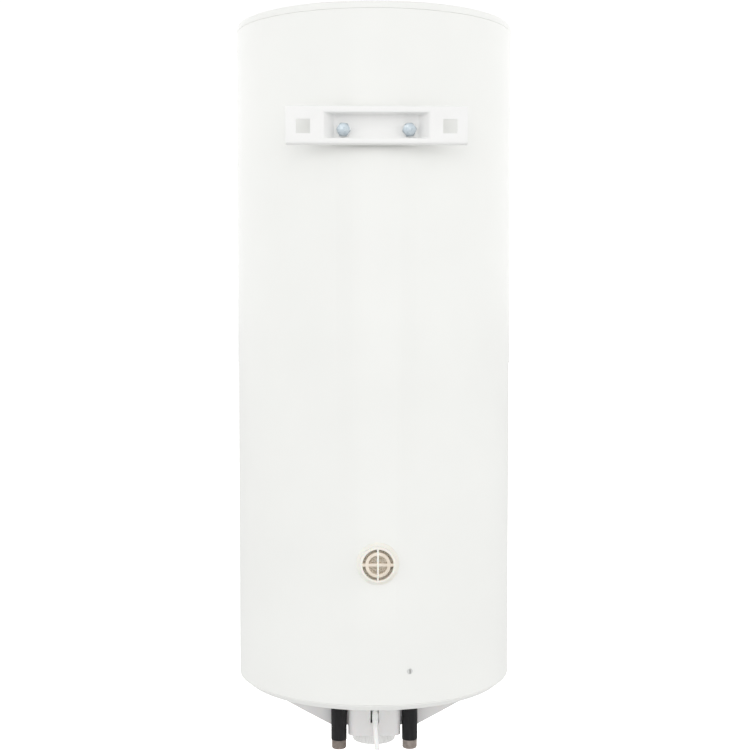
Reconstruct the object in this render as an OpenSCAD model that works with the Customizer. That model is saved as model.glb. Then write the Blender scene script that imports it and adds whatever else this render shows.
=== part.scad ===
// Wall-hung electric storage water heater with its wall bracket and mains lead.
// +Z is up, +Y points to the wall, -Y is the room side.
// The origin lies on the wall plane, midway between the bracket's hook slots.
// Most modules are drawn in the casing frame: z = 0 at the casing's lower rim, y = 0 on its axis.

/* [Casing] */
// Outside diameter of the casing
casing_d = 385; // [383:0.5:387]
// Height of the casing with both caps
casing_h = 920; // [915:1:960]
// Rounding of the upper and lower rims
rim_r = 8; // [6:0.5:8]
// Wall thickness of the casing and the caps
skin = 1; // [0.8:0.1:1.2]

/* [Tank] */
// Outside diameter of the inner tank
tank_d = 340; // [336:1:342]
// Wall thickness of the inner tank
tank_wall = 2; // [1.5:0.1:2.5]
// Height of each dished tank end
dome_h = 45; // [42:1:47]

/* [Wall bracket] */
// Distance from the casing's back to the wall
wall_gap = 22; // [21.5:0.5:26]
// Distance from the casing's top to the middle of the hook slots
hook_drop = 162; // [150:1:170]
// Length of the bracket along the wall
bracket_w = 230; // [224:1:240]
// Height of the bracket
bracket_h = 48; // [46:1:50]
// Thickness of the bracket's steel
bracket_t = 2.5; // [2:0.1:3]
// Distance between the middles of the two hook slots
hook_pitch = 186; // [182:1:190]
// Side of each square hook slot
hook_slot = 18; // [16:0.5:19]
// Distance between the two fixing bolts
bolt_pitch = 84; // [80:1:86]

/* [Water pipes] */
// Distance between the two pipes
pipe_pitch = 100; // [99:0.5:101]
// Radius of the half-inch pipe thread
pipe_r = 10.48; // [10.4:0.01:10.5]
// Radius of the pipe's bore
pipe_bore_r = 7.8; // [7:0.1:8]
// Distance of the pipes behind the casing's axis
pipe_back = 50; // [50:0.5:51]
// Distance of the pipe ends below the casing
pipe_drop = 93; // [92:1:96]

/* [Bottom cover] */
// Radius of the cover at its upper rim
cover_top_r = 181; // [176:0.5:181]
// Radius of the cover's flat bottom
cover_low_r = 69.5; // [69:0.5:71]
// Depth of the cone
cover_h = 65; // [64:0.5:66]
// Half the width of the block between the pipes
block_r = 37; // [36.5:0.1:37.2]
// Depth of the block that carries the knob
block_h = 73; // [72:0.5:74]
// Wall thickness of the cover
cover_t = 2.5; // [2:0.1:3]

/* [Control knob] */
// Radius of the knob
knob_r = 31; // [29:0.5:32]
// Height of the knob
knob_h = 22; // [20:0.5:22]

/* [Mains lead] */
// Radius of the lead
lead_r = 3.5; // [3.4:0.1:3.6]
// Number of turns in the tied coil
coil_turns = 5; // [3:1:5]
// Radius of the coil at the middle of the lead
coil_r = 40; // [39:0.5:41]

/* [Hidden] */

$fn = 96;
eps = 0.5;

casing_r = casing_d / 2;
casing_in_r = casing_r - skin;
axis_y = -(casing_r + wall_gap);
base_z = hook_drop - casing_h;
lid_h = rim_r + 2;
rim_in = 11;
low_flat_r = casing_r - rim_in;
skirt_h = 12;
foam_r = casing_in_r - 1.3;

tank_r = tank_d / 2;
tank_low = 75;
tank_high = 845;
dome_r = (pow(tank_r, 2) + pow(dome_h, 2)) / (2 * dome_h);

flange_y = -20;
flange_r = 56;
collar_r = 42;
collar_in_r = 38;
collar_ring_z = 2;
gasket_z = -4;
plate_z = -7;
plate_low = -11;
stud_circle_r = 49;
stud_count = 5;
stud_r = 4;
flange_opening_r = flange_r + 1.5;

element_y = -10;
element_pitch = 32;
element_r = 4.2;
element_top = 330;
pocket_y = -38;
pocket_r = 6.5;
pocket_in_r = 5.5;
anode_y = 3;
anode_r = 11;
anode_rod_r = 3;

shaft_pipe_r = pipe_r - 1.28;
thread_top = -81;
sleeve_r = 11;
sleeve_low = -80.5;
sleeve_top = 6;
grommet_r = 12.1;
grommet_lip = 3;

boss_r = 9;
boss_bore_r = 5;
bolt_z = -base_z - 2.6;
bolt_head_r = 9.24;
bolt_head_h = 6.5;
washer_r = 9.4;
washer_t = 2;
pan_back = casing_r + 0.5;
pan_front = pan_back + bracket_t;

port_x = -2;
port_z = 197;
port_r = 23.5;
port_flange_r = 28;
port_front = casing_r + 10;
port_floor = 176;
port_core = 188;
port_ring_r = 16.5;
port_ring_in_r = 12.2;
port_wall_in_r = 20;
port_rib = 2.6;
port_level_rib = 4;

small_screw_x = -44;
small_screw_z = 54;
small_screw_angle = asin(small_screw_x / casing_r);

cover_cut_y = 36;
block_back_y = 62;
block_corner_r = 12;
cover_post_x = 63;
cover_post_y = -8;
notch_w = 11.4;
notch_x = -0.2;
cover_gap = 2;
notch_low = -54.5;
notch_top = -36.5;

shaft_r = 3;
knob_top = -block_h - 1;
lamp_x = 40;
lamp_y = -35;
lamp_r = 5;
cutout_y = -48;
button_r = 3;

gauge_z = 150;
gauge_r = 27.5;
gauge_in_r = 25.5;
cold_angle = 100;

// The lead leaves the notch sloping down, turns down under its own weight and hangs to its coil.
coil_y = 36;
coil_z = -168;
coil_x = -18;
coil_pitch = 7.4;
LEAD_ROUTE = [
  [-1, 62, -46], [-1, 65, -49], [-1, 68, -52], [-1, 73, -58], [-1.5, 76, -65], [-2, 77, -73],
  [-3, 77, -82], [-4.5, 77, -92], [-7, 77, -102], [-10, 77, -112], [-13, 77, -122],
  [-15.5, 76.5, -132], [-17, 76, -142], [-18, 76, -152], [-18, 76, -160]
];
TAIL_ROUTE = [
  [19, 76, -176], [18.5, 76, -184], [17, 76, -192], [14, 76, -200], [11.5, 76, -208],
  [10.3, 76, -216], [10, 76, -222], [10, 76, -228]
];
INNER_ROUTE = [
  [-1, 62, -46], [-1, 42, -26], [-5, 41, -21], [-14, 38, -19], [-29, 31, -19], [-43, 24, -16],
  [-48, 20, -9], [-53, 16.5, -5], [-66, 10, -5], [-76, 7, -7], [-84, 5, -8]
];
relief_in = 26;
relief_h = 34;
plug_x = 10;
plug_y = 76;
plug_top = -228;

// ---------- helpers ----------

// Moves a shape from the casing frame to the wall frame.
module casing_frame() {
  translate([0, axis_y, base_z]) children();
}

// Tube standing on z0.
module pipe_tube(r_out, r_in, z0, z1) {
  translate([0, 0, z0]) linear_extrude(z1 - z0) difference() {
    circle(r_out);
    circle(r_in);
  }
}

// Cylinder between two heights.
module post(r, z0, z1) {
  translate([0, 0, z0]) cylinder(r = r, h = z1 - z0);
}

// Cylinder that runs along Y between y0 and y1.
module post_y(r, y0, y1) {
  translate([0, y1, 0]) rotate([90, 0, 0]) cylinder(r = r, h = y1 - y0);
}

// Hexagonal prism between two heights.
module hex_post(r, z0, z1) {
  translate([0, 0, z0]) linear_extrude(z1 - z0) circle(r, $fn = 6);
}

// Half section of a round slab of height h with its upper edge rounded.
module slab_section(r, edge, h) {
  square([r - edge, h]);
  square([r, h - edge]);
  translate([r - edge, h - edge]) intersection() {
    circle(edge);
    square(edge);
  }
}

// Pressed lid, open below, with a joggled skirt that sits inside the casing tube.
module lid() {
  rotate_extrude() difference() {
    slab_section(casing_r, rim_r, lid_h);
    slab_section(casing_in_r, rim_r - skin, lid_h - skin);
  }
  pipe_tube(casing_in_r, casing_in_r - 1.2, -skirt_h, 2);
}

// Hollow that the tank leaves in the foam.
module tank_hollow() {
  gap = 0.3;
  post(tank_r + gap, tank_low - 2 * gap, tank_high + 2 * gap);
  dome(dome_r, true);
  dome(dome_r, false);
}

// Solid dished end, upper or lower.
module dome(r, upper) {
  z = upper ? tank_high : tank_low;
  mirror([0, 0, upper ? 0 : 1]) translate([0, 0, upper ? z : -z]) intersection() {
    translate([0, 0, dome_h - dome_r]) sphere(r);
    post(tank_r, 0, dome_h + eps);
  }
}

// Shell of a dished end.
module dome_shell(upper) {
  difference() {
    dome(dome_r, upper);
    dome(dome_r - tank_wall, upper);
  }
}

// Both pipe places.
module at_pipes() {
  for (side = [-1, 1]) translate([side * pipe_pitch / 2, pipe_back, 0]) children();
}

// Places of the flange studs.
module at_studs() {
  for (i = [0 : stud_count - 1]) translate([0, flange_y, 0])
    rotate([0, 0, 90 + i * 360 / stud_count]) translate([stud_circle_r, 0, 0]) children();
}

// Both cover screw places.
module at_cover_posts() {
  for (side = [-1, 1]) translate([side * cover_post_x, cover_post_y, 0]) children();
}

// Both bracket bolt places, with the local y axis towards the wall.
module at_bolts() {
  for (side = [-1, 1]) translate([side * bolt_pitch / 2, 0, bolt_z]) children();
}

// Place of the small casing screw, with the local y axis along the casing's radius.
module at_small_screw() {
  translate([0, 0, small_screw_z]) rotate([0, 0, -small_screw_angle]) children();
}

// ---------- swept wires and leads ----------

function unit(v) = v / norm(v);
function along(p, i) = unit(p[min(i + 1, len(p) - 1)] - p[max(i - 1, 0)]);
function square_to(u, t) = unit(u - (u * t) * t);

// One sideways direction for each point, carried along the route without twist.
function sideways(p) = [
  for (i = 0, u = square_to([0.31, 0.82, 0.47], along(p, 0)); i < len(p);
    i = i + 1, u = square_to(u, along(p, min(i, len(p) - 1)))) u
];
function lead_ring(c, t, u, r, sides) =
  [for (k = [0 : sides - 1]) c + r * (cos(k * 360 / sides) * u + sin(k * 360 / sides) * cross(t, u))];
function ring_faces(i, sides) =
  [for (k = [0 : sides - 1]) let (n = (k + 1) % sides)
    [i * sides + k, (i + 1) * sides + k, (i + 1) * sides + n, i * sides + n]];

// Tube along a list of points, as one closed polyhedron.
module swept(points, r, sides = 12) {
  last = (len(points) - 1) * sides;
  side = sideways(points);
  polyhedron(
    points = [
      for (i = [0 : len(points) - 1]) each lead_ring(points[i], along(points, i), side[i], r, sides)
    ],
    faces = concat(
      [[for (k = [0 : sides - 1]) k]],
      [for (i = [0 : len(points) - 2]) each ring_faces(i, sides)],
      [[for (k = [sides - 1 : -1 : 0]) last + k]]
    ),
    convexity = 4
  );
}

// ---------- tank ----------

module tank_shell() {
  color("steelblue") casing_frame() pipe_tube(tank_r, tank_r - tank_wall, tank_low, tank_high);
}

module tank_top_dome() {
  color("steelblue") casing_frame() dome_shell(true);
}

module tank_bottom_dome() {
  color("steelblue") casing_frame() difference() {
    dome_shell(false);
    translate([0, flange_y, 0]) post(collar_r, 0, tank_low);
    at_pipes() post(shaft_pipe_r, 0, tank_low);
  }
}

module flange_collar() {
  color("slategray") casing_frame() translate([0, flange_y, 0]) {
    pipe_tube(collar_r, collar_in_r, gasket_z, 46);
    pipe_tube(flange_r, collar_r, gasket_z, collar_ring_z);
  }
}

module flange_gasket() {
  color("dimgray") casing_frame() translate([0, flange_y, 0])
    pipe_tube(stud_circle_r - stud_r - 0.5, collar_in_r - 1, plate_z, gasket_z);
}

module flange_plate() {
  color("silver") casing_frame() difference() {
    translate([0, flange_y, 0]) post(flange_r, plate_low, plate_z);
    at_studs() post(stud_r + 0.3, plate_low - eps, plate_z + eps);
    for (side = [-1, 1]) translate([side * element_pitch / 2, element_y, 0])
      post(element_r + 0.1, plate_low - eps, plate_z + eps);
    translate([0, pocket_y, 0]) post(pocket_r + 0.1, plate_low - eps, plate_z + eps);
    translate([0, anode_y, 0]) post(anode_rod_r + 0.2, plate_low - eps, plate_z + eps);
  }
}

// Welded studs with their nuts.
module flange_studs() {
  color("gainsboro") casing_frame() at_studs() {
    post(stud_r, -22, gasket_z);
    hex_post(7.5, plate_low - 6.5, plate_low);
  }
}

// Hairpin heating rod.
module heating_element() {
  color("sienna") casing_frame() translate([0, element_y, 0]) {
    for (side = [-1, 1]) translate([side * element_pitch / 2, 0, 0])
      post(element_r, -14, element_top);
    translate([0, 0, element_top]) rotate([90, 0, 0]) rotate_extrude(angle = 180)
      translate([element_pitch / 2, 0]) circle(element_r);
  }
}

// Ceramic beads with the terminal pins.
module element_terminals() {
  color("ivory") casing_frame() for (side = [-1, 1])
    translate([side * element_pitch / 2, element_y, 0]) {
      post(element_r, -19, -14);
      post(2.4, -30, -19);
    }
}

// Closed tube that keeps the sensing bulbs dry.
module thermostat_pocket() {
  color("lightsteelblue") casing_frame() translate([0, pocket_y, 0]) difference() {
    post(pocket_r, -15, 300);
    post(pocket_in_r, -16, 296);
  }
}

module anode_rod() {
  color("darkgray") casing_frame() translate([0, anode_y, 0]) difference() {
    post(anode_r, 12, 300);
    post(anode_rod_r, 11, 40);
  }
}

module anode_stud() {
  color("gainsboro") casing_frame() translate([0, anode_y, 0]) {
    post(anode_rod_r, -20, 40);
    hex_post(5.8, plate_low - 5, plate_low);
  }
}

// ---------- water pipes ----------

// Open pipe with a bevelled threaded end of full width.
module water_pipe(top) {
  difference() {
    union() {
      post(shaft_pipe_r, thread_top - 1, top);
      post(pipe_r, -pipe_drop + 1, thread_top);
      translate([0, 0, -pipe_drop]) cylinder(r1 = pipe_r - 1, r2 = pipe_r, h = 1);
    }
    post(pipe_bore_r, -pipe_drop - eps, top + eps);
  }
}

module cold_inlet_pipe() {
  color("tan") casing_frame() translate([pipe_pitch / 2, pipe_back, 0]) water_pipe(66);
}

module hot_outlet_pipe() {
  color("tan") casing_frame() translate([-pipe_pitch / 2, pipe_back, 0]) water_pipe(66);
}

// Thin tube that takes the hottest water from just under the tank's top.
module hot_riser() {
  color("gainsboro") casing_frame() translate([-pipe_pitch / 2, pipe_back, 0])
    pipe_tube(9, pipe_bore_r, 66, 860);
}

// Slotted cap that spreads the cold water.
module inlet_diffuser() {
  color("white") casing_frame() translate([pipe_pitch / 2, pipe_back, 0]) difference() {
    post(14, 56, 90);
    post(shaft_pipe_r + 0.1, 55, 66);
    post(12, 66, 88);
    for (turn = [0 : 60 : 120]) rotate([0, 0, turn]) translate([-15, -2, 70]) cube([30, 4, 12]);
  }
}

// Black sleeves that insulate the pipes from the casing.
module pipe_sleeves() {
  color("black") casing_frame() at_pipes() pipe_tube(sleeve_r, shaft_pipe_r, sleeve_low, sleeve_top);
}

// Rubber rings that seal the pipes in the bottom cap.
module pipe_grommets() {
  color("black") casing_frame() at_pipes() {
    pipe_tube(grommet_r, sleeve_r, -1.5, 2.5);
    pipe_tube(grommet_r + grommet_lip, grommet_r, 1, 2.5);
  }
}

// ---------- casing ----------

module insulation_foam() {
  color("burlywood") casing_frame() {
    difference() {
      rotate_extrude() polygon([
        [0, 1.2], [low_flat_r - 0.9, 1.2], [foam_r - 0.2, lid_h],
        [foam_r - 0.2, casing_h - rim_r - 1], [casing_in_r - rim_r, casing_h - 1.2],
        [0, casing_h - 1.2]
      ]);
      tank_hollow();
      translate([0, flange_y, 0]) post(flange_opening_r, 0, 6);
      translate([0, flange_y, 0]) post(collar_r + 0.1, 0, tank_low);
      at_pipes() post(shaft_pipe_r + 0.1, 0, tank_low);
      at_pipes() post(grommet_r + grommet_lip + 0.2, 0, sleeve_top + 0.5);
      at_cover_posts() post(2.4, 0, 9);
      at_bolts() post_y(boss_r + 0.1, 0, casing_r);
      at_small_screw() post_y(2, 176, casing_r);
      translate([port_x, 0, port_z]) post_y(port_r + 0.1, port_core, casing_r);
      translate([port_x, 0, port_z]) difference() {
        post_y(port_r + 0.1, port_floor, port_core + 1);
        post_y(port_ring_in_r - 0.1, port_floor - 1, port_core + 2);
      }
      translate([0, 0, gauge_z]) post_y(gauge_r + 0.3, -casing_r, -176);
      translate([-1.5, -178, 8]) cube([3, 7.4, gauge_z - 8]);
      translate([-1.5, -178, 0]) cube([3, 30, 14]);
    }
  }
}

// The lower lid: flat in the middle, its rim rising to the casing like a shallow funnel.
module funnel_lid() {
  rotate_extrude() polygon([
    [0, 0], [low_flat_r, 0], [casing_r, lid_h], [casing_r - skin - 0.7, lid_h],
    [low_flat_r - 0.3, skin], [0, skin]
  ]);
  pipe_tube(casing_in_r, casing_in_r - 1.2, lid_h - 0.4, lid_h + skirt_h);
}

module outer_casing() {
  color("white") casing_frame() difference() {
    pipe_tube(casing_r, casing_in_r, lid_h, casing_h - lid_h);
    at_bolts() post_y(boss_r + 0.3, 0, casing_r + eps);
    at_small_screw() post_y(2, 100, casing_r + eps);
    translate([port_x, 0, port_z]) post_y(port_r + 0.2, 0, casing_r + eps);
    translate([0, 0, gauge_z]) post_y(gauge_r + 0.3, -casing_r - eps, 0);
  }
}

module top_cap() {
  color("white") casing_frame() translate([0, 0, casing_h - lid_h]) lid();
}

module bottom_cap() {
  color("white") casing_frame() difference() {
    funnel_lid();
    translate([0, flange_y, 0]) post(flange_opening_r, -eps, 3);
    at_pipes() post(grommet_r, -eps, 3);
    at_cover_posts() post(2, -eps, 3);
    translate([0, -161, 0]) post(4, -eps, 3);
  }
}

module casing_screw() {
  color("lightgray") casing_frame() at_small_screw() difference() {
    union() {
      post_y(1.9, 178, casing_r);
      post_y(3.8, casing_r, casing_r + 1.6);
    }
    translate([0, casing_r + 1, 0]) {
      cube([4.6, 2.4, 1], center = true);
      cube([1, 2.4, 4.6], center = true);
    }
  }
}

// Ribbed plug in the port through which the foam is filled.
module foam_port_plug() {
  color("ivory") casing_frame() translate([port_x, 0, port_z]) {
    difference() {
      post_y(port_flange_r, casing_r - 3, casing_r + 2.5);
      post_y(port_r - 0.5, casing_r - 4, casing_r + 4);
      translate([-port_x, 0, -port_flange_r - 1]) cylinder(r = casing_r, h = 2 * port_flange_r + 2);
    }
    difference() {
      post_y(port_r, port_floor + 0.2, port_front);
      post_y(port_wall_in_r, port_floor, port_front + eps);
    }
    difference() {
      post_y(port_ring_r, port_floor + 0.2, port_front - 0.6);
      post_y(port_ring_in_r, port_floor, port_front + eps);
    }
    difference() {
      for (rib = [[0, port_rib], [90, port_level_rib]]) rotate([0, rib[0], 0])
        translate([-rib[1] / 2, port_floor + 0.2, -port_r + 1])
          cube([rib[1], port_front - port_floor - 0.8, 2 * port_r - 2]);
      post_y(port_ring_in_r, port_floor, port_core + 0.2);
    }
  }
}

// ---------- wall bracket ----------

// Bosses welded to the tank, drilled for the bolts.
module bracket_bosses() {
  color("slategray") casing_frame() difference() {
    at_bolts() difference() {
      post_y(boss_r, 160, pan_back);
      post_y(boss_bore_r, 172, pan_back + eps);
    }
    post(tank_r, bolt_z - 20, bolt_z + 20);
  }
}

// Recessed pan of the bracket, drawn in plan and raised to its height.
module pan_block(front_w, back_w, front_y, back_y, z0, z1) {
  translate([0, 0, z0]) linear_extrude(z1 - z0) polygon([
    [-front_w, front_y], [front_w, front_y], [back_w, back_y], [-back_w, back_y]
  ]);
}

module wall_bracket() {
  top = bracket_h / 2 + 2;
  low = top - bracket_h;
  low_lip = 7.5;
  top_lip = 8.8;
  pan_y = pan_back + axis_y;
  flange_depth = 18;
  color("white") difference() {
    union() {
      difference() {
        translate([-bracket_w / 2, -flange_depth, low]) cube([bracket_w, flange_depth, bracket_h]);
        translate([-bracket_w / 2 - eps, -flange_depth - eps, low + bracket_t])
          cube([bracket_w + 1, flange_depth + eps - bracket_t, bracket_h - 2 * bracket_t]);
      }
      pan_block(69, 57, 0, pan_y, low + low_lip - bracket_t, top - top_lip + bracket_t);
    }
    pan_block(67, 54.5, eps, pan_y + bracket_t, low + low_lip, top - top_lip);
    for (side = [-1, 1]) translate([side * hook_pitch / 2, -bracket_t / 2, 0])
      cube([hook_slot, 3 * bracket_t, hook_slot], center = true);
    translate([0, axis_y, base_z]) at_bolts() post_y(5.5, pan_back - eps, pan_front + eps);
  }
}

module bracket_washers() {
  color("silver") casing_frame() at_bolts() difference() {
    post_y(washer_r, pan_front, pan_front + washer_t);
    post_y(boss_bore_r + 0.3, pan_front - eps, pan_front + washer_t + eps);
  }
}

// Hexagon-head bolts.
module bracket_bolts() {
  color("silver") casing_frame() at_bolts() {
    post_y(boss_bore_r, 174, pan_front + washer_t);
    translate([0, pan_front + washer_t + bolt_head_h, 0]) rotate([90, 0, 0])
      linear_extrude(bolt_head_h) circle(bolt_head_r, $fn = 6);
  }
}

// ---------- bottom cover ----------

// Plan of the block that carries the knob and lets the lead out.
module block_plan(inset) {
  circle(block_r - inset);
  translate([-block_r + inset, 0])
    square([2 * (block_r - inset), block_back_y - block_corner_r]);
  translate([-block_r + block_corner_r, 0])
    square([2 * (block_r - block_corner_r), block_back_y - inset]);
  for (side = [-1, 1]) translate([side * (block_r - block_corner_r), block_back_y - block_corner_r])
    circle(block_corner_r - inset);
}

// Cone with a flat back, joined to the block.
module cover_form(inset, up) {
  slope = (cover_top_r - cover_low_r) / cover_h;
  intersection() {
    translate([0, 0, -cover_h + inset]) cylinder(
      r1 = cover_low_r - inset * 0.6, r2 = cover_top_r - inset * 1.2 + slope * up,
      h = cover_h - inset + up);
    translate([-cover_top_r - 20, -cover_top_r - 20, -cover_h])
      cube([2 * cover_top_r + 40, cover_top_r + 20 + cover_cut_y - inset, cover_h + up]);
  }
  translate([0, 0, -block_h + inset]) linear_extrude(block_h - inset + up) block_plan(inset);
}

// Cone and block in one moulding, held a little below the lid by its two posts.
module bottom_cover() {
  color("whitesmoke") casing_frame() difference() {
    union() {
      difference() {
        cover_form(0, 0);
        cover_form(cover_t, 1);
        post(cover_top_r + 1, -cover_gap, eps);
      }
      at_cover_posts() post(5, -cover_h + 1, 0);
    }
    at_cover_posts() post(2.1, -cover_h - eps, eps);
    post(5.5, -block_h - eps, -block_h + cover_t + eps);
    translate([lamp_x, lamp_y, 0]) post(lamp_r + 0.1, -cover_h - eps, -cover_h + cover_t + eps);
    translate([notch_x - notch_w / 2, block_back_y - cover_t - 1, notch_low])
      cube([notch_w, cover_t + 2, notch_top - notch_low]);
  }
}

module cover_screws() {
  color("silver") casing_frame() at_cover_posts() difference() {
    union() {
      post(1.9, -cover_h, 8);
      post(4, -cover_h - 2.2, -cover_h);
    }
    translate([0, 0, -cover_h - 2.2]) {
      cube([4.6, 1, 2], center = true);
      cube([1, 4.6, 2], center = true);
    }
  }
}

// ---------- controls ----------

module thermostat_body() {
  color("beige") casing_frame() difference() {
    translate([-22, -20, -62]) cube([44, 40, 24]);
    post(shaft_r + 0.06, -63, -54);
  }
}

module thermostat_shaft() {
  color("silver") casing_frame() post(shaft_r, -90, -55);
}

// Strap that hangs the thermostat and the safety cut-out from the flange plate.
module thermostat_strap() {
  color("silver") casing_frame() {
    translate([-22, -72, -38]) cube([44, 92, 1.5]);
    translate([-10, -72, -38]) cube([20, 1.5, 38 + plate_low]);
  }
}

function thermostat_capillary() = [
  [22, 12, -46], [24, 12, -46], [27, 8, -40], [26, -26, -27], [8, -36, -24], [-2.3, -38, -17],
  [-2.3, -38, 150]
];

// Sensing bulb and its capillary.
module thermostat_bulb() {
  color("goldenrod") casing_frame() {
    swept(thermostat_capillary(), 0.8, 8);
    translate([-2.3, pocket_y, 0]) post(3, 150, 230);
  }
}

module safety_cutout() {
  color("dimgray") casing_frame() translate([0, cutout_y, 0]) difference() {
    post(12, -50, -38);
    post(button_r + 0.08, -51, -41);
  }
}

module reset_button() {
  color("red") casing_frame() translate([0, cutout_y, 0]) post(button_r, -54, -44);
}

// Fluted knob with a blind hole for the shaft.
module control_knob() {
  low = knob_top - knob_h;
  edge = 3;
  flutes = 28;
  color("white") casing_frame() difference() {
    rotate_extrude() {
      translate([0, low]) square([knob_r - edge, knob_h]);
      translate([0, low + edge]) square([knob_r, knob_h - edge]);
      translate([knob_r - edge, low + edge]) circle(edge);
    }
    for (i = [1 : flutes - 1]) rotate([0, 0, -90 + i * 360 / flutes])
      translate([knob_r + 1.6, 0, 0]) post(2.4, low - eps, knob_top - 4);
    post(shaft_r, -90, knob_top + eps);
    translate([-1.2, -knob_r + 5, low - eps]) cube([2.4, 16, 1.1]);
  }
}

// Coloured line let into the knob's face.
module knob_mark() {
  low = knob_top - knob_h;
  color("firebrick") casing_frame() translate([-1.2, -knob_r + 5, low]) cube([2.4, 16, 0.6]);
}

module lamp_lens() {
  color("orangered") casing_frame() translate([lamp_x, lamp_y, 0]) {
    post(lamp_r, -cover_h, -cover_h + 4);
    intersection() {
      translate([0, 0, -cover_h + 3.6]) sphere(6.2);
      post(lamp_r, -cover_h - 3, -cover_h);
    }
  }
}

module lamp_holder() {
  color("ivory") casing_frame() translate([lamp_x, lamp_y, 0]) post(7.5, -cover_h + 4, -42);
}

// ---------- wiring ----------

module terminal_block() {
  color("white") casing_frame() difference() {
    translate([-102, -40, -16]) cube([30, 40, 16]);
    for (i = [0 : 2]) translate([-87, -32 + 12 * i, -16]) post(2.2, -eps, 5);
  }
}

module live_wires() {
  color("saddlebrown") casing_frame() {
    swept([
      [-72, -26, -9], [-69, -26, -9], [-60, -34, -24], [-32, -26, -45], [-25, -12, -50],
      [-22, -12, -50]
    ], 1.4, 8);
    swept([
      [22, -6, -48], [25, -6, -48], [34, -8, -40], [30, -10, -29], [22, -10, -27],
      [18.4, -10, -27]
    ], 1.4, 8);
    swept([
      [22, -16, -50], [24, -16, -50], [31, -21, -38], [36, -29, -33], [38, -32, -37],
      [38, -32, -42]
    ], 0.9, 8);
  }
}

module neutral_wires() {
  color("royalblue") casing_frame() {
    swept([
      [-72, -18, -9], [-69, -18, -9], [-60, -20, -27], [-36, -14, -32], [-22, -10, -27],
      [-18.4, -10, -27]
    ], 1.4, 8);
    swept([
      [-18.2, -7.4, -29], [-4, 6, -32], [26, 18, -34], [40, -4, -34], [43, -26, -33],
      [43, -34, -36], [43, -34, -42]
    ], 0.9, 8);
  }
}

module earth_wire() {
  color("yellowgreen") casing_frame()
    swept([
      [-72, -36, -9], [-69, -36, -9], [-62, -50, -26], [-22, -63, -30], [18, -57, -30],
      [38, -37, -22]
    ], 1.4, 8);
}

module earth_stud() {
  color("gold") casing_frame() translate([38, -36, 0]) {
    post(2.5, -21, plate_low);
    hex_post(4.6, -16, plate_low);
  }
}

module inner_lead() {
  color("white") casing_frame() swept(INNER_ROUTE, lead_r);
}

// Saddle that grips the lead under the bottom cap.
module cable_clamp() {
  color("white") casing_frame() translate([-59.5, 13.25, 0]) rotate([0, 0, atan(1 / 2)]) difference() {
    translate([-5, -7, -11]) cube([10, 14, 11]);
    translate([-6, 0, -5]) rotate([0, 90, 0]) cylinder(r = lead_r + 0.1, h = 12);
  }
}

// Tapered sleeve that steadies the lead through the cover's notch.
module cable_relief() {
  color("white") casing_frame() translate([-1, block_back_y, -46]) rotate([-135, 0, 0])
    translate([0, 0, -relief_in]) difference() {
      cylinder(r1 = 5.6, r2 = 4.1, h = relief_h);
      translate([0, 0, -eps]) cylinder(r = lead_r, h = relief_h + 2 * eps);
    }
}

// ---------- mains lead ----------

module mains_cable() {
  color("white") casing_frame() swept(LEAD_ROUTE, lead_r);
}

// Envelope of the tied turns.
module cable_coil() {
  span = coil_turns * coil_pitch + 2 * lead_r;
  color("white") casing_frame() translate([coil_x - lead_r, coil_y, coil_z])
    rotate([0, 90, 0]) rotate_extrude() translate([coil_r - lead_r - 0.2, 0])
      square([2 * lead_r + 0.4, span]);
}

module cable_tail() {
  color("white") casing_frame() swept(TAIL_ROUTE, lead_r);
}

// Strap round the coil's upper side.
module coil_tie() {
  span = coil_turns * coil_pitch + 2 * lead_r + 1;
  thick = 2 * lead_r + 1.6;
  wall = 1.5;
  color("gray") casing_frame() translate([coil_x - lead_r - 0.5, coil_y, coil_z + coil_r])
    difference() {
      translate([-wall, -5, -thick / 2 - wall]) cube([span + 2 * wall, 10, thick + 2 * wall]);
      translate([0, -6, -thick / 2]) cube([span, 12, thick]);
    }
}

// Two-pole plug body with its tapered neck.
module mains_plug() {
  color("white") casing_frame() translate([plug_x, plug_y, plug_top]) {
    difference() {
      translate([0, 0, -14]) cylinder(r1 = 8, r2 = 5, h = 18);
      post(lead_r, 0, 5);
    }
    translate([0, 0, -30]) cylinder(r1 = 18.3, r2 = 8, h = 16);
    post(18.3, -50, -30);
  }
}

module plug_pins() {
  color("silver") casing_frame() for (side = [-1, 1])
    translate([plug_x, plug_y + side * 9.5, plug_top]) {
      post(2.4, -67, -50);
      translate([0, 0, -67]) intersection() {
        sphere(2.4);
        post(2.4, -2.4, 0);
      }
    }
}

// ---------- thermometer ----------

// Cup let into the casing's front.
module gauge_housing() {
  color("dimgray") casing_frame() translate([0, 0, gauge_z]) difference() {
    union() {
      post_y(gauge_r, -197, -178);
      post_y(31, -197, -193.2);
    }
    post_y(gauge_in_r, -198, -180);
    translate([0, 0, -14]) post_y(1.1, -181, -177);
  }
}

module gauge_bezel() {
  color("silver") casing_frame() translate([0, 0, gauge_z]) difference() {
    post_y(31, -199.5, -197);
    post_y(23.5, -200, -196);
  }
}

module gauge_dial() {
  color("white") casing_frame() translate([0, 0, gauge_z]) difference() {
    post_y(gauge_in_r, -187, -186);
    post_y(1, -188, -185);
  }
}

// Needle with its hub and arbor.
module gauge_pointer() {
  color("red") casing_frame() translate([0, 0, gauge_z]) {
    post_y(0.94, -189, -183);
    post_y(3, -190, -188);
    rotate([0, -cold_angle, 0]) translate([0, -188.2, 0]) rotate([90, 0, 0]) linear_extrude(0.8)
      polygon([[-1, -7], [1, -7], [1.4, 0], [0.4, 19], [-0.4, 19], [-1.4, 0]]);
  }
}

module gauge_glass() {
  color("lightcyan") casing_frame() translate([0, 0, gauge_z]) post_y(gauge_in_r, -197, -195);
}

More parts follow.
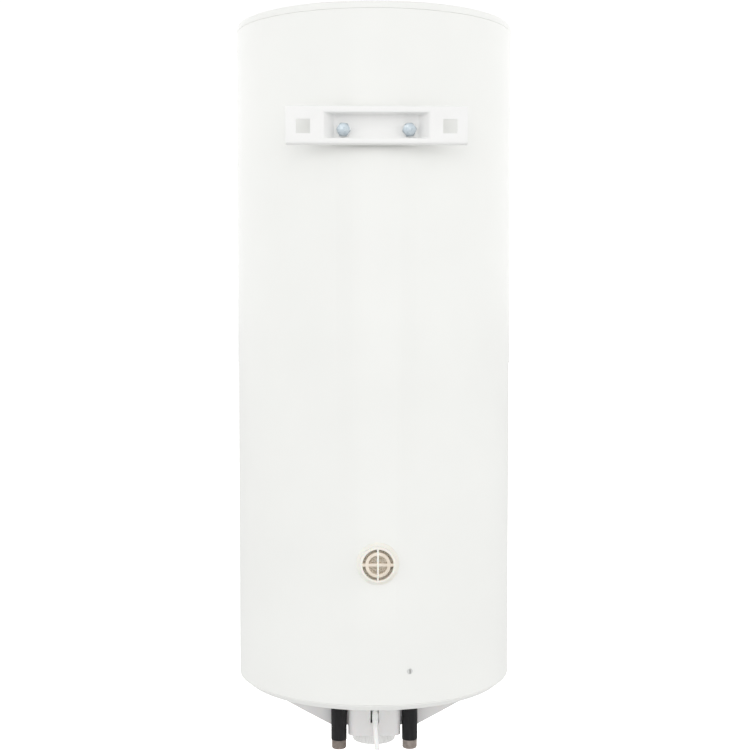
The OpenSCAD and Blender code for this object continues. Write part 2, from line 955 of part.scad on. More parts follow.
function gauge_capillary() = [
  [0, -179, gauge_z - 14], [0, -176, gauge_z - 14], [0, -174, 128], [0, -173, 118],
  [0, -173, 16], [0, -168, 6],
  [0, -158, -2], [6, -140, -16], [14, -110, -26], [14, -70, -24], [3.1, -41, -21],
  [3.1, -38, -16], [3.1, -38, 150]
];

module gauge_bulb() {
  color("goldenrod") casing_frame() {
    swept(gauge_capillary(), 0.8, 8);
    translate([3.1, pocket_y, 0]) post(1.9, 150, 210);
  }
}

// ---------- output ----------

tank_shell();
tank_top_dome();
tank_bottom_dome();
flange_collar();
flange_gasket();
flange_plate();
flange_studs();
heating_element();
element_terminals();
thermostat_pocket();
anode_rod();
anode_stud();
cold_inlet_pipe();
inlet_diffuser();
hot_outlet_pipe();
hot_riser();
pipe_sleeves();
pipe_grommets();
insulation_foam();
outer_casing();
top_cap();
bottom_cap();
bracket_bosses();
wall_bracket();
bracket_bolts();
bracket_washers();
foam_port_plug();
casing_screw();
bottom_cover();
cover_screws();
thermostat_body();
thermostat_shaft();
thermostat_bulb();
thermostat_strap();
safety_cutout();
reset_button();
control_knob();
knob_mark();
lamp_lens();
lamp_holder();
terminal_block();
live_wires();
neutral_wires();
earth_wire();
earth_stud();
inner_lead();
cable_clamp();
cable_relief();
mains_cable();
cable_coil();
cable_tail();
coil_tie();
mains_plug();
plug_pins();
gauge_housing();
gauge_bezel();
gauge_dial();
gauge_pointer();
gauge_glass();
gauge_bulb();
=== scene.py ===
"""Looks of a wall-hung electric water heater, seen from its wall side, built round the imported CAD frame.

The shared frame and Blender count in metres, the numbers below in millimetres unless they say otherwise.
"Casing frame" points are (x, back, up): back is the distance behind the casing's axis, towards the wall,
and up is the height above the bottom cap's lowest point.
"""
import math

import bmesh
import bpy
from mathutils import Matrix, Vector, noise


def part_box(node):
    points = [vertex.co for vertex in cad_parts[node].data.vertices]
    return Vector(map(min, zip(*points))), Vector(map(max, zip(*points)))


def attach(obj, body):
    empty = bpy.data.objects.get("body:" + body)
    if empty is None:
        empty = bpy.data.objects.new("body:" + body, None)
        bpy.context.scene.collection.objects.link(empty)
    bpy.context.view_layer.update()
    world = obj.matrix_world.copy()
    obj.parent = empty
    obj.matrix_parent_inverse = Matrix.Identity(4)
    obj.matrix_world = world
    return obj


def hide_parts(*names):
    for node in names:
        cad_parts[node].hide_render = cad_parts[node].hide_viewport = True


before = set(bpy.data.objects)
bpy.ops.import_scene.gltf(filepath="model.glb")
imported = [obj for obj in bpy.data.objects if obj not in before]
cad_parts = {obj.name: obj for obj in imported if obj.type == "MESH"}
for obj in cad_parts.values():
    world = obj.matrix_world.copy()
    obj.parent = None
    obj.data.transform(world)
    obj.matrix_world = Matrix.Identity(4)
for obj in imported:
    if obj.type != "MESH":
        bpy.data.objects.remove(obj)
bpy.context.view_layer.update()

MM = 0.001
casing_low, casing_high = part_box("outer_casing")
AXIS_Y = (casing_low.y + casing_high.y) / 2
BASE_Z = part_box("bottom_cap")[0].z
TOP_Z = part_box("top_cap")[1].z
CASING_R = (casing_high.x - casing_low.x) / 2
CASING_H = TOP_Z - BASE_Z


def place(x, back, up):
    """A casing frame point, in millimetres, as a shared frame point in metres."""
    return Vector((x * MM, AXIS_Y + back * MM, BASE_Z + up * MM))


# ---------- camera: distances in metres, lens in millimetres ----------

CAMERA_DISTANCE = 1.93
CAMERA_UP = 0.538
CAMERA_PITCH = math.radians(3.14)
CAMERA_YAW = math.radians(1.0)
CAMERA_LENS = 64.8
CAMERA_SHIFT = 0.0017


def make_camera():
    camera = bpy.data.objects.new("camera", bpy.data.cameras.new("camera"))
    bpy.context.scene.collection.objects.link(camera)
    camera.data.lens = CAMERA_LENS
    camera.data.shift_x = CAMERA_SHIFT
    camera.data.clip_start = 0.05
    camera.data.clip_end = 100
    away = Vector((math.sin(CAMERA_YAW), math.cos(CAMERA_YAW), 0))
    camera.location = Vector((0, AXIS_Y, BASE_Z + CAMERA_UP)) + away * CAMERA_DISTANCE
    look = -away * math.cos(CAMERA_PITCH) - Vector((0, 0, math.sin(CAMERA_PITCH)))
    camera.rotation_euler = look.to_track_quat("-Z", "Y").to_euler()
    bpy.context.scene.camera = camera


make_camera()

# ---------- mains lead ----------

LEAD_R = 3.5
COIL_TURNS = 5
COIL_R = 40
COIL_PITCH = 7.4
COIL_START = (-18, 36, -168)
COIL_POINTS = 16
LEAD_ROUTE = [
    (-1, 62, -46), (-1, 65, -49), (-1, 68, -52), (-1, 73, -58), (-1.5, 76, -65), (-2, 77, -73),
    (-3, 77, -82), (-4.5, 77, -92), (-7, 77, -102), (-10, 77, -112), (-13, 77, -122),
    (-15.5, 76.5, -132), (-17, 76, -142), (-18, 76, -152), (-18, 76, -160),
]
TAIL_ROUTE = [
    (19, 76, -176), (18.5, 76, -184), (17, 76, -192), (14, 76, -200), (11.5, 76, -208),
    (10.3, 76, -216), (10, 76, -222), (10, 76, -228),
]


def coil_route():
    """Turns that hang side by side, wound downwards from the lead's end."""
    x, back, up = COIL_START
    turns = [i / COIL_POINTS for i in range(COIL_TURNS * COIL_POINTS + 1)]
    return [(x + COIL_PITCH * t,
             back + COIL_R * math.cos(2 * math.pi * t),
             up - COIL_R * math.sin(2 * math.pi * t)) for t in turns]


def lead_curve(radius):
    """The lead's line as one smooth curve, or as a round cord if radius isn't 0."""
    data = bpy.data.curves.new("lead_line", "CURVE")
    data.dimensions = "3D"
    data.bevel_depth = radius
    data.bevel_resolution = 4
    data.resolution_u = 5
    data.use_fill_caps = radius > 0
    route = [place(*p) for p in LEAD_ROUTE + coil_route() + TAIL_ROUTE]
    spline = data.splines.new("BEZIER")
    spline.bezier_points.add(len(route) - 1)
    for point, where in zip(spline.bezier_points, route):
        point.co = where
        point.handle_left_type = "AUTO"
        point.handle_right_type = "AUTO"
    holder = bpy.data.objects.new("lead_line", data)
    mesh = bpy.data.meshes.new_from_object(holder)
    bpy.data.objects.remove(holder)
    return mesh


def make_lead():
    """The lead from the cover's notch to its plug, and the points that it follows."""
    mesh = lead_curve(LEAD_R * MM)
    mesh.polygons.foreach_set("use_smooth", [True] * len(mesh.polygons))
    made = bpy.data.objects.new("mains_lead", mesh)
    bpy.context.scene.collection.objects.link(made)
    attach(made, "heater")
    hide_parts("mains_cable", "cable_coil", "cable_tail")
    return made, [v.co.copy() for v in lead_curve(0).vertices]


lead, lead_path = make_lead()

# ---------- materials ----------


def fill(node, **inputs):
    """Sets a node's inputs, named with underscores for spaces."""
    for name, value in inputs.items():
        node.inputs[name.replace("_", " ")].default_value = value
    return node


def fill_ramp(node, stops):
    """Sets a colour ramp's stops, as (position, colour) pairs."""
    elements = node.color_ramp.elements
    while len(elements) < len(stops):
        elements.new(0.5)
    for element, (where, color) in zip(elements, stops):
        element.position = where
        element.color = (*color, 1)


class Shader:
    """Small helper that wires nodes round one Principled shader."""

    def __init__(self, name):
        self.material = bpy.data.materials.new(name)
        self.material.use_nodes = True
        self.nodes = self.material.node_tree.nodes
        self.links = self.material.node_tree.links
        self.shader = self.nodes["Principled BSDF"]
        self.place = self.node("TexCoord").outputs["Object"]
        self.height = None

    def node(self, kind, **inputs):
        return fill(self.nodes.new("ShaderNode" + kind), **inputs)

    def noise(self, scale, detail, stretch=(1, 1, 1), distortion=0.0):
        mapping = self.node("Mapping", Scale=stretch)
        self.links.new(self.place, mapping.inputs["Vector"])
        node = self.node("TexNoise", Scale=scale, Detail=detail, Distortion=distortion)
        self.links.new(mapping.outputs["Vector"], node.inputs["Vector"])
        return node.outputs["Fac"]

    def cells(self, scale, output="Distance"):
        node = self.node("TexVoronoi", Scale=scale)
        self.links.new(self.place, node.inputs["Vector"])
        return node.outputs[output]

    def ramp(self, fac, stops):
        node = self.node("ValToRGB")
        self.links.new(fac, node.inputs["Fac"])
        fill_ramp(node, stops)
        return node.outputs["Color"]

    def span(self, fac, low, high, start=0.3, end=0.7):
        node = self.node("MapRange", From_Min=start, From_Max=end, To_Min=low, To_Max=high)
        self.links.new(fac, node.inputs["Value"])
        return node.outputs["Result"]

    def paint(self, fac, low, high, spread, start=0.3, end=0.7):
        """Base colour from low to high, its tones set apart by spread."""
        stops = [(start, shade(low, 1 - spread)), (end, shade(high, 1 + spread))]
        self.into("Base Color", self.ramp(fac, stops))

    def into(self, socket, output):
        self.links.new(output, self.shader.inputs[socket])

    def bump(self, fac, depth):
        """Adds a layer of bump, depth in metres."""
        node = self.node("Bump", Strength=1, Distance=depth)
        self.links.new(fac, node.inputs["Height"])
        if self.height:
            self.links.new(self.height, node.inputs["Normal"])
        self.height = node.outputs["Normal"]
        self.links.new(self.height, self.shader.inputs["Normal"])


def shade(color, share):
    return tuple(min(1.0, c * share) for c in color)


def painted(name, color, rough, peel=0.00005, peel_scale=260, coat=0.0, mottle=0.012):
    """Sprayed and baked enamel: faint orange peel and slow changes of tone."""
    s = Shader(name)
    fill(s.shader, Coat_Weight=coat, Coat_Roughness=0.12, IOR=1.48)
    slow = s.noise(7, 2)
    s.paint(slow, color, color, mottle)
    s.into("Roughness", s.span(s.noise(60, 4), rough - 0.04, rough + 0.05))
    s.bump(s.noise(peel_scale, 2), peel)
    s.bump(s.noise(2600, 2), peel * 0.12)
    return s.material


def moulded(name, color, rough=0.4, grain=0.00004, mottle=0.03, subsurface=0.0, tint=None):
    """Injection-moulded plastic: fine spark-eroded grain and faint flow marks."""
    s = Shader(name)
    fill(s.shader, IOR=1.5, Subsurface_Weight=subsurface, Subsurface_Scale=0.004)
    flow = s.noise(24, 4, stretch=(1, 1, 0.35), distortion=0.6)
    s.paint(flow, tint or color, color, mottle)
    s.into("Roughness", s.span(s.noise(180, 4), rough - 0.06, rough + 0.06))
    s.bump(s.noise(3200, 2), grain)
    s.bump(s.noise(90, 2), grain * 1.5)
    return s.material


def metal(name, color, rough, stain=None, scratch=0.00003, mottle=0.1, share=1.0):
    """Bare metal: fine scratches all over, with a stain or tarnish in patches."""
    s = Shader(name)
    fill(s.shader, Metallic=share)
    patch = s.noise(55, 5, distortion=0.8)
    s.paint(patch, stain or color, color, mottle, 0.32, 0.68)
    marks = s.noise(900, 4)
    s.into("Roughness", s.span(marks, rough - 0.08, rough + 0.1))
    s.bump(marks, scratch)
    return s.material


def zinc_plated():
    """Bluish zinc plating with its crystal spangle."""
    s = Shader("zinc_steel")
    fill(s.shader, Metallic=0.85)
    spangle = s.cells(420, output="Color")
    grey = s.node("RGBToBW")
    s.links.new(spangle, grey.inputs["Color"])
    s.into("Base Color", s.ramp(grey.outputs["Val"], [
        (0.1, (0.40, 0.46, 0.50)), (0.5, (0.47, 0.53, 0.57)), (0.9, (0.55, 0.60, 0.63))]))
    s.into("Roughness", s.span(s.noise(300, 4), 0.28, 0.5))
    s.bump(s.cells(420), 0.00004)
    s.bump(s.noise(1500, 3), 0.00003)
    return s.material


def cut_foam():
    """Rigid polyurethane foam: open cells, darker skin and pale scraped spots."""
    s = Shader("foam")
    fill(s.shader, IOR=1.4)
    cell = s.cells(900)
    tone = s.noise(160, 5, distortion=1.2)
    s.into("Base Color", s.ramp(tone, [
        (0.25, (0.68, 0.61, 0.51)), (0.5, (0.88, 0.82, 0.72)), (0.75, (0.95, 0.91, 0.83))]))
    s.into("Roughness", s.span(cell, 0.75, 0.98, 0.0, 0.8))
    s.bump(s.noise(350, 5), 0.0012)
    s.bump(cell, 0.0006)
    return s.material


def sleeve_rubber():
    """Black insulating sleeve with lengthwise extrusion marks and dust."""
    s = Shader("sleeve_black")
    fill(s.shader, IOR=1.3)
    streak = s.noise(700, 4, stretch=(1, 1, 0.05))
    s.into("Base Color", s.ramp(streak, [
        (0.3, (0.008, 0.008, 0.009)), (0.62, (0.014, 0.014, 0.015)), (0.85, (0.032, 0.032, 0.033))]))
    s.into("Roughness", s.span(s.noise(120, 4), 0.42, 0.62))
    s.bump(streak, 0.00012)
    s.bump(s.noise(900, 3), 0.00006)
    return s.material


def clear(name, color, rough=0.03, transmission=1.0, alpha=1.0):
    """Glass or clear plastic with faint waviness; alpha below 1 lets it be seen through straight."""
    s = Shader(name)
    fill(s.shader, Transmission_Weight=transmission, IOR=1.5, Alpha=alpha)
    s.into("Base Color", s.ramp(s.noise(30, 2), [(0.3, shade(color, 0.97)), (0.7, color)]))
    s.into("Roughness", s.span(s.noise(150, 3), rough, rough + 0.03))
    s.bump(s.noise(80, 2), 0.00002)
    return s.material


def two_tone_sleeve():
    """Earth wire insulation, green with yellow bands that run along it."""
    s = Shader("wire_earth")
    fill(s.shader, IOR=1.5)
    band = s.noise(380, 1, stretch=(0.3, 1, 1))
    s.into("Base Color", s.ramp(band, [(0.49, (0.06, 0.30, 0.07)), (0.51, (0.75, 0.62, 0.05))]))
    s.into("Roughness", s.span(s.noise(200, 3), 0.35, 0.5))
    s.bump(s.noise(900, 2), 0.00004)
    return s.material


OFF_WHITE = (0.86, 0.865, 0.84)
MATERIALS = {m.name.split(".")[0]: m for m in (
    painted("casing_paint", OFF_WHITE, 0.42, coat=0.1),
    painted("bracket_paint", (0.88, 0.88, 0.87), 0.42, peel=0.00008, peel_scale=420),
    zinc_plated(),
    metal("boss_steel", (0.45, 0.44, 0.42), 0.5, stain=(0.30, 0.24, 0.19)),
    painted("tank_enamel", (0.10, 0.16, 0.27), 0.2, peel=0.0001, coat=0.6, mottle=0.12),
    cut_foam(),
    moulded("port_plastic", (0.88, 0.865, 0.81), 0.38, subsurface=0.12, tint=(0.86, 0.83, 0.76)),
    moulded("port_dusty", (0.86, 0.78, 0.68), 0.6, grain=0.0001, mottle=0.06, tint=(0.76, 0.67, 0.55)),
    metal("screw_pale", (0.80, 0.81, 0.79), 0.5, stain=(0.70, 0.71, 0.70), share=0.25),
    # dark metal for the sheet that paints the shade on the floor of the casing screw's slot
    metal("screw_grime", (0.52, 0.52, 0.50), 0.6, stain=(0.42, 0.41, 0.40), share=0.4),
    metal("washer_pale", (0.93, 0.94, 0.94), 0.5, stain=(0.86, 0.87, 0.87), share=0.2),
    moulded("cover_plastic", (0.725, 0.715, 0.71), 0.45, mottle=0.015, subsurface=0.06),
    moulded("knob_plastic", (0.83, 0.83, 0.815), 0.4, mottle=0.01),
    moulded("mark_red", (0.55, 0.03, 0.03), 0.35),
    sleeve_rubber(),
    moulded("rubber_black", (0.02, 0.02, 0.021), 0.65, grain=0.00008, mottle=0.2),
    metal("pipe_steel", (0.53, 0.485, 0.46), 0.45, stain=(0.30, 0.25, 0.22), scratch=0.0001, share=0.8),
    moulded("riser_plastic", (0.75, 0.75, 0.72), 0.5),
    metal("flange_steel", (0.60, 0.60, 0.58), 0.35, stain=(0.50, 0.47, 0.40)),
    metal("element_copper", (0.72, 0.40, 0.26), 0.35, stain=(0.45, 0.24, 0.16)),
    moulded("bead_ceramic", (0.82, 0.79, 0.72), 0.55, grain=0.0001),
    metal("pocket_steel", (0.66, 0.67, 0.68), 0.28),
    metal("magnesium", (0.46, 0.46, 0.45), 0.6, stain=(0.36, 0.35, 0.33), scratch=0.0002),
    moulded("control_plastic", (0.70, 0.66, 0.55), 0.5),
    metal("shaft_steel", (0.62, 0.62, 0.60), 0.3),
    metal("capillary_brass", (0.70, 0.50, 0.24), 0.3, stain=(0.52, 0.32, 0.14)),
    moulded("cutout_plastic", (0.05, 0.05, 0.052), 0.45, mottle=0.1),
    moulded("button_red", (0.60, 0.04, 0.03), 0.35),
    clear("lens_red", (0.85, 0.09, 0.03), rough=0.12, transmission=0.6),
    moulded("terminal_plastic", (0.84, 0.83, 0.79), 0.5),
    moulded("wire_brown", (0.17, 0.07, 0.03), 0.45),
    moulded("wire_blue", (0.03, 0.10, 0.42), 0.45),
    two_tone_sleeve(),
    moulded("lead_white", (0.93, 0.925, 0.915), 0.42, grain=0.00006, mottle=0.012, subsurface=0.08),
    moulded("tie_grey", (0.30, 0.30, 0.31), 0.75, grain=0.0002, mottle=0.12),
    moulded("plug_white", (0.87, 0.865, 0.85), 0.38, mottle=0.012, subsurface=0.06),
    metal("pin_nickel", (0.72, 0.70, 0.65), 0.22, mottle=0.04),
    moulded("gauge_black", (0.03, 0.03, 0.032), 0.35, mottle=0.1),
    metal("bezel_chrome", (0.80, 0.80, 0.81), 0.1, mottle=0.03, scratch=0.000008),
    moulded("dial_white", (0.86, 0.86, 0.83), 0.5, mottle=0.01),
    moulded("pointer_red", (0.62, 0.05, 0.03), 0.35),
    clear("gauge_glass", (0.96, 0.98, 0.98), alpha=0.3),
)}


def dress_cad_nodes():
    """Each CAD node takes the procedural material of its record slot."""
    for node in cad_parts.values():
        for i, old in enumerate(node.data.materials):
            name = old.name.split(".")[0] if old else ""
            if name in MATERIALS:
                node.data.materials[i] = MATERIALS[name]


dress_cad_nodes()
lead.data.materials.clear()
lead.data.materials.append(MATERIALS["lead_white"])

# ---------- mesh helpers ----------

SHARP = 35
ON_AXIS = 1e-6


def rounded(corners, steps=5):
    """Turns (a, b, radius) corners of an outline into points, each corner rounded by its radius."""
    points = []
    count = len(corners)
    for i, (a, b, radius) in enumerate(corners):
        here = Vector((a, b))
        back = Vector(corners[i - 1][:2]) - here
        ahead = Vector(corners[(i + 1) % count][:2]) - here
        if radius <= 0:
            points.append(here)
            continue
        half = back.angle(ahead) / 2
        reach = min(radius / math.tan(half), back.length * 0.49, ahead.length * 0.49)
        start = here + back.normalized() * reach
        end = here + ahead.normalized() * reach
        for k in range(steps + 1):
            t = k / steps
            points.append(start * (1 - t) ** 2 + here * 2 * t * (1 - t) + end * t ** 2)
    return points


def piece(name, bm, body, slot, *nodes, angle=SHARP, look=None):
    """Makes a smooth-shaded object of bm that rides on body and stands for the CAD nodes.

    Its material is the slot's own, unless look names another one."""
    bmesh.ops.remove_doubles(bm, verts=bm.verts, dist=1e-6)
    bmesh.ops.recalc_face_normals(bm, faces=bm.faces)
    mesh = bpy.data.meshes.new(name)
    bm.to_mesh(mesh)
    bm.free()
    mesh.polygons.foreach_set("use_smooth", [True] * len(mesh.polygons))
    mesh.set_sharp_from_angle(angle=math.radians(angle))
    mesh.materials.append(MATERIALS[look or slot])
    made = bpy.data.objects.new(name, mesh)
    bpy.context.scene.collection.objects.link(made)
    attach(made, body)
    if nodes:
        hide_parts(*nodes)
    return made


def circle(steps):
    """Angles of evenly spaced steps round a circle."""
    return [2 * math.pi * i / steps for i in range(steps)]


def stitch(bm, rings, closed=False):
    """Faces between neighbouring rings of points, and from the last ring to the first if closed."""
    after = rings[1:] + rings[:1] if closed else rings[1:]
    for one, two in zip(rings, after):
        for k in range(len(one)):
            n = (k + 1) % len(one)
            bm.faces.new([one[k], one[n], two[n], two[k]])


def prism(bm, rings):
    """A solid along rings of points, with a face at each end."""
    stitch(bm, rings)
    bm.faces.new(rings[0])
    bm.faces.new(rings[-1][::-1])


def spin(bm, outline, centre, axis="Z", steps=96):
    """Revolves a closed outline of (radius, height) points, in millimetres, about a line through centre."""
    rings = []
    for turn in circle(steps):
        c, s = math.cos(turn), math.sin(turn)
        ring = []
        for r, h in outline:
            offset = Vector((r * c, r * s, h)) if axis == "Z" else Vector((r * c, h, r * s))
            ring.append(bm.verts.new(centre + offset * MM))
        rings.append(ring)
    for ring, after in zip(rings, rings[1:] + rings[:1]):
        for k in range(len(ring)):
            n = (k + 1) % len(ring)
            if outline[k][0] >= ON_AXIS or outline[n][0] >= ON_AXIS:
                bm.faces.new([ring[k], ring[n], after[n], after[k]])


def turned(name, outline, centre, slot, *nodes, axis="Z", steps=96, **finish):
    """A fixed piece made by revolving one outline."""
    bm = bmesh.new()
    spin(bm, outline, centre, axis, steps)
    return piece(name, bm, "heater", slot, *nodes, **finish)


def box(bm, low, high):
    """A box between two opposite corners, shared frame points in metres."""
    verts = [bm.verts.new((x, y, z)) for x in (low[0], high[0]) for y in (low[1], high[1])
             for z in (low[2], high[2])]
    for face in ((0, 1, 3, 2), (4, 6, 7, 5), (0, 4, 5, 1), (2, 3, 7, 6), (0, 2, 6, 4), (1, 5, 7, 3)):
        bm.faces.new([verts[k] for k in face])


def soften(made, width, segments=3, angle=30):
    """Rounds a piece's edges, then fixes the result in its mesh."""
    bevel = made.modifiers.new("bevel", "BEVEL")
    bevel.width = width * MM
    bevel.segments = segments
    bevel.limit_method = "ANGLE"
    bevel.angle_limit = math.radians(angle)
    bake(made)


def bake(made):
    """Applies a piece's modifiers, then marks its sharp edges again."""
    done = bpy.data.meshes.new_from_object(made.evaluated_get(bpy.context.evaluated_depsgraph_get()))
    made.modifiers.clear()
    made.data = done
    done.polygons.foreach_set("use_smooth", [True] * len(done.polygons))
    done.set_sharp_from_angle(angle=math.radians(SHARP))


def cut(made, cutters):
    """Takes closed meshes out of a piece, in turn."""
    for cutter in cutters:
        bmesh.ops.recalc_face_normals(cutter, faces=cutter.faces)
        mesh = bpy.data.meshes.new("cutter")
        cutter.to_mesh(mesh)
        cutter.free()
        tool = bpy.data.objects.new("cutter", mesh)
        bpy.context.scene.collection.objects.link(tool)
        boolean = made.modifiers.new("cut", "BOOLEAN")
        boolean.operation = "DIFFERENCE"
        boolean.solver = "EXACT"
        boolean.object = tool
        bake(made)
        bpy.data.objects.remove(tool)


def rod(centre, radius, start, end, axis="Z", steps=64):
    """A closed cylinder along an axis, as a cutter."""
    bm = bmesh.new()
    spin(bm, [(0, start), (radius, start), (radius, end), (0, end)], centre, axis, steps)
    bmesh.ops.remove_doubles(bm, verts=bm.verts, dist=1e-7)
    return bm


def copy_of(node, body, slot, width, segments, angle):
    """A CAD node's own shape with its edges rounded by width, in millimetres."""
    bm = bmesh.new()
    bm.from_mesh(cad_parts[node].data)
    bmesh.ops.remove_doubles(bm, verts=bm.verts, dist=1e-6)
    bmesh.ops.dissolve_limit(bm, angle_limit=math.radians(0.5), verts=bm.verts, edges=bm.edges)
    soften(piece(node + "_shape", bm, body, slot, node), width, segments, angle)


# ---------- casing ----------

RIM_R = 8
LID_H = 10
SKIN = 1
SKIRT_H = 12
SKIRT_T = 1.2
RIM_IN = 11
SEAM = 0.12
FLANGE_BACK = -20
FLANGE_HOLE_R = 57.5
PIPE_X = 50
PIPE_BACK = 50
GROMMET_R = 12.1
COVER_SCREW_X = 63
COVER_SCREW_BACK = -8
CASING_STEPS = 288
BOLT_X = 42
BOLT_UP = 755.4
BOLT_HOLE_R = 5.5
BOSS_HOLE_R = 9.3
PORT_X = -2
PORT_UP = 197
PORT_R = 23.5
GAUGE_UP = 150
GAUGE_R = 27.5


def make_casing():
    """Rolled sheet tube, its edges turned in slightly where the lids meet it."""
    r = CASING_R / MM
    low = LID_H
    high = CASING_H / MM - LID_H
    outline = rounded([(r, low, 0.5), (r, high, 0.5), (r - SKIN, high, 0), (r - SKIN, low, 0)], 3)
    made = turned("casing_tube", outline, place(0, 0, 0), "casing_paint", "outer_casing",
                  steps=CASING_STEPS, angle=50)
    holes = [rod(place(side * BOLT_X, 0, BOLT_UP), BOSS_HOLE_R, 150, 200, "Y") for side in (-1, 1)]
    holes.append(rod(place(PORT_X, 0, PORT_UP), PORT_R + 0.2, 150, 200, "Y"))
    holes.append(rod(place(0, 0, GAUGE_UP), GAUGE_R + 0.3, -200, -150, "Y"))
    cut(made, holes)


def upper_lid():
    """Section of the pressed upper lid, measured from its top."""
    r = CASING_R / MM
    inner = r - SKIN - SKIRT_T
    return rounded([
        (0, 0, 0), (r, 0, RIM_R), (r, -LID_H + SEAM, 0.4), (r - SKIN, -LID_H + SEAM, 0),
        (r - SKIN, -LID_H - SKIRT_H, 0), (inner, -LID_H - SKIRT_H, 0),
        (inner, -SKIN, RIM_R - SKIN), (0, -SKIN, 0)], 10)


def lower_lid():
    """Section of the lower lid, whose rim rises to the casing like a shallow funnel."""
    r = CASING_R / MM
    inner = r - SKIN - SKIRT_T
    flat = r - RIM_IN
    return rounded([
        (0, 0, 0), (flat, 0, 3), (r, LID_H - 1.2, 1.6), (r, LID_H - SEAM, 0.3),
        (r - SKIN, LID_H - SEAM, 0), (r - SKIN, LID_H + SKIRT_H, 0), (inner, LID_H + SKIRT_H, 0),
        (inner, LID_H, 0), (flat - 0.3, SKIN, 2), (0, SKIN, 0)], 6)


def make_lids():
    turned("top_lid", upper_lid(), place(0, 0, CASING_H / MM), "casing_paint", "top_cap",
           steps=CASING_STEPS, angle=50)
    made = turned("bottom_lid", lower_lid(), place(0, 0, 0), "casing_paint", "bottom_cap",
                  steps=CASING_STEPS, angle=40)
    holes = [rod(place(0, FLANGE_BACK, 0), FLANGE_HOLE_R, -1, 3)]
    holes += [rod(place(side * PIPE_X, PIPE_BACK, 0), GROMMET_R, -1, 3) for side in (-1, 1)]
    holes += [rod(place(side * COVER_SCREW_X, COVER_SCREW_BACK, 0), 2, -1, 3) for side in (-1, 1)]
    cut(made, holes)


make_casing()
make_lids()

# ---------- wall bracket ----------

BRACKET_W = 230
BRACKET_TOP = 26
BRACKET_LOW = -22
BRACKET_T = 2.5
FLANGE_DEPTH = 18
HOOK_X = 93
HOOK_HALF = 9
PAN_FRONT_X = 67
PAN_BACK_X = 54.5
PAN_TOP = 17.2
PAN_LOW = -14.5
PAN_DEPTH = 19
BEND_R = 2.6


def bracket_columns():
    """Places across the bracket where its surface needs an edge."""
    half = BRACKET_W / 2
    right = [0, 18, 36, PAN_BACK_X, PAN_FRONT_X, HOOK_X - HOOK_HALF, HOOK_X + HOOK_HALF, half]
    return [-x for x in reversed(right[1:])] + right


def bracket_section(x):
    """Front surface of the sheet at x, from the upper flange's edge to the lower one's: (y, z) points."""
    push = (PAN_FRONT_X - abs(x)) / (PAN_FRONT_X - PAN_BACK_X)
    depth = PAN_DEPTH * max(0.0, min(1.0, push))
    return [
        (-FLANGE_DEPTH, BRACKET_TOP), (0, BRACKET_TOP), (0, PAN_TOP), (-depth, PAN_TOP),
        (-depth, HOOK_HALF), (-depth, -HOOK_HALF), (-depth, PAN_LOW), (0, PAN_LOW),
        (0, BRACKET_LOW), (-FLANGE_DEPTH, BRACKET_LOW),
    ]


def make_bracket():
    """Pressed steel channel with a recessed pan between two square hook slots."""
    bm = bmesh.new()
    columns = bracket_columns()
    grid = [[bm.verts.new((x * MM, y * MM, z * MM)) for y, z in bracket_section(x)] for x in columns]
    for i in range(len(columns) - 1):
        middle = abs(columns[i] + columns[i + 1]) / 2
        for k in range(len(grid[0]) - 1):
            is_slot = k == 4 and abs(middle - HOOK_X) < HOOK_HALF
            if not is_slot:
                bm.faces.new([grid[i][k], grid[i + 1][k], grid[i + 1][k + 1], grid[i][k + 1]])
    bmesh.ops.remove_doubles(bm, verts=bm.verts, dist=1e-6)
    bmesh.ops.dissolve_degenerate(bm, edges=bm.edges, dist=1e-6)
    bmesh.ops.dissolve_limit(bm, angle_limit=math.radians(1), verts=bm.verts, edges=bm.edges)
    made = piece("bracket_sheet", bm, "heater", "bracket_paint", "wall_bracket")
    bend = made.modifiers.new("bend", "BEVEL")
    bend.width = BEND_R * MM
    bend.segments = 5
    bend.limit_method = "ANGLE"
    bend.angle_limit = math.radians(25)
    sheet = made.modifiers.new("sheet", "SOLIDIFY")
    sheet.thickness = BRACKET_T * MM
    sheet.offset = -1
    sheet.use_even_offset = True
    bake(made)
    cut(made, [rod(place(side * BOLT_X, 0, BOLT_UP), BOLT_HOLE_R, 185, 200, "Y") for side in (-1, 1)])
    soften(made, 0.45, 2, 40)


make_bracket()

HEX_AF = 16
HEX_STEPS = 72
HEAD_H = 6.5
BOLT_R = 5
BOLT_END = 174
BOLT_TURNS = ((-1, -0.14), (1, 0.1))
COLLAR_R = 7.8
COLLAR_H = 0.6
WASHER_R = 9.4
WASHER_IN_R = 5.3
WASHER_T = 2
PAN_BACK = 195.5


def hexagon(bm, centre, start, end, turn):
    """Hexagonal bolt head along Y, its corners turned down: each ring keeps within a share of its flats."""
    across = HEX_AF / 2
    rows = []
    shares = ((start, 2), (end - 2.2, 2), (end - 0.9, 1.09), (end - 0.25, 1), (end, 0.93), (end, 0))
    for depth, share in shares:
        ring = []
        for a in circle(HEX_STEPS):
            local = (a - turn) % (math.pi / 3) - math.pi / 6
            r = min(across / math.cos(local), across * share)
            ring.append(bm.verts.new(centre + Vector((r * math.cos(a), depth, r * math.sin(a))) * MM))
        rows.append(ring)
    stitch(bm, rows)
    bm.faces.new(rows[0])


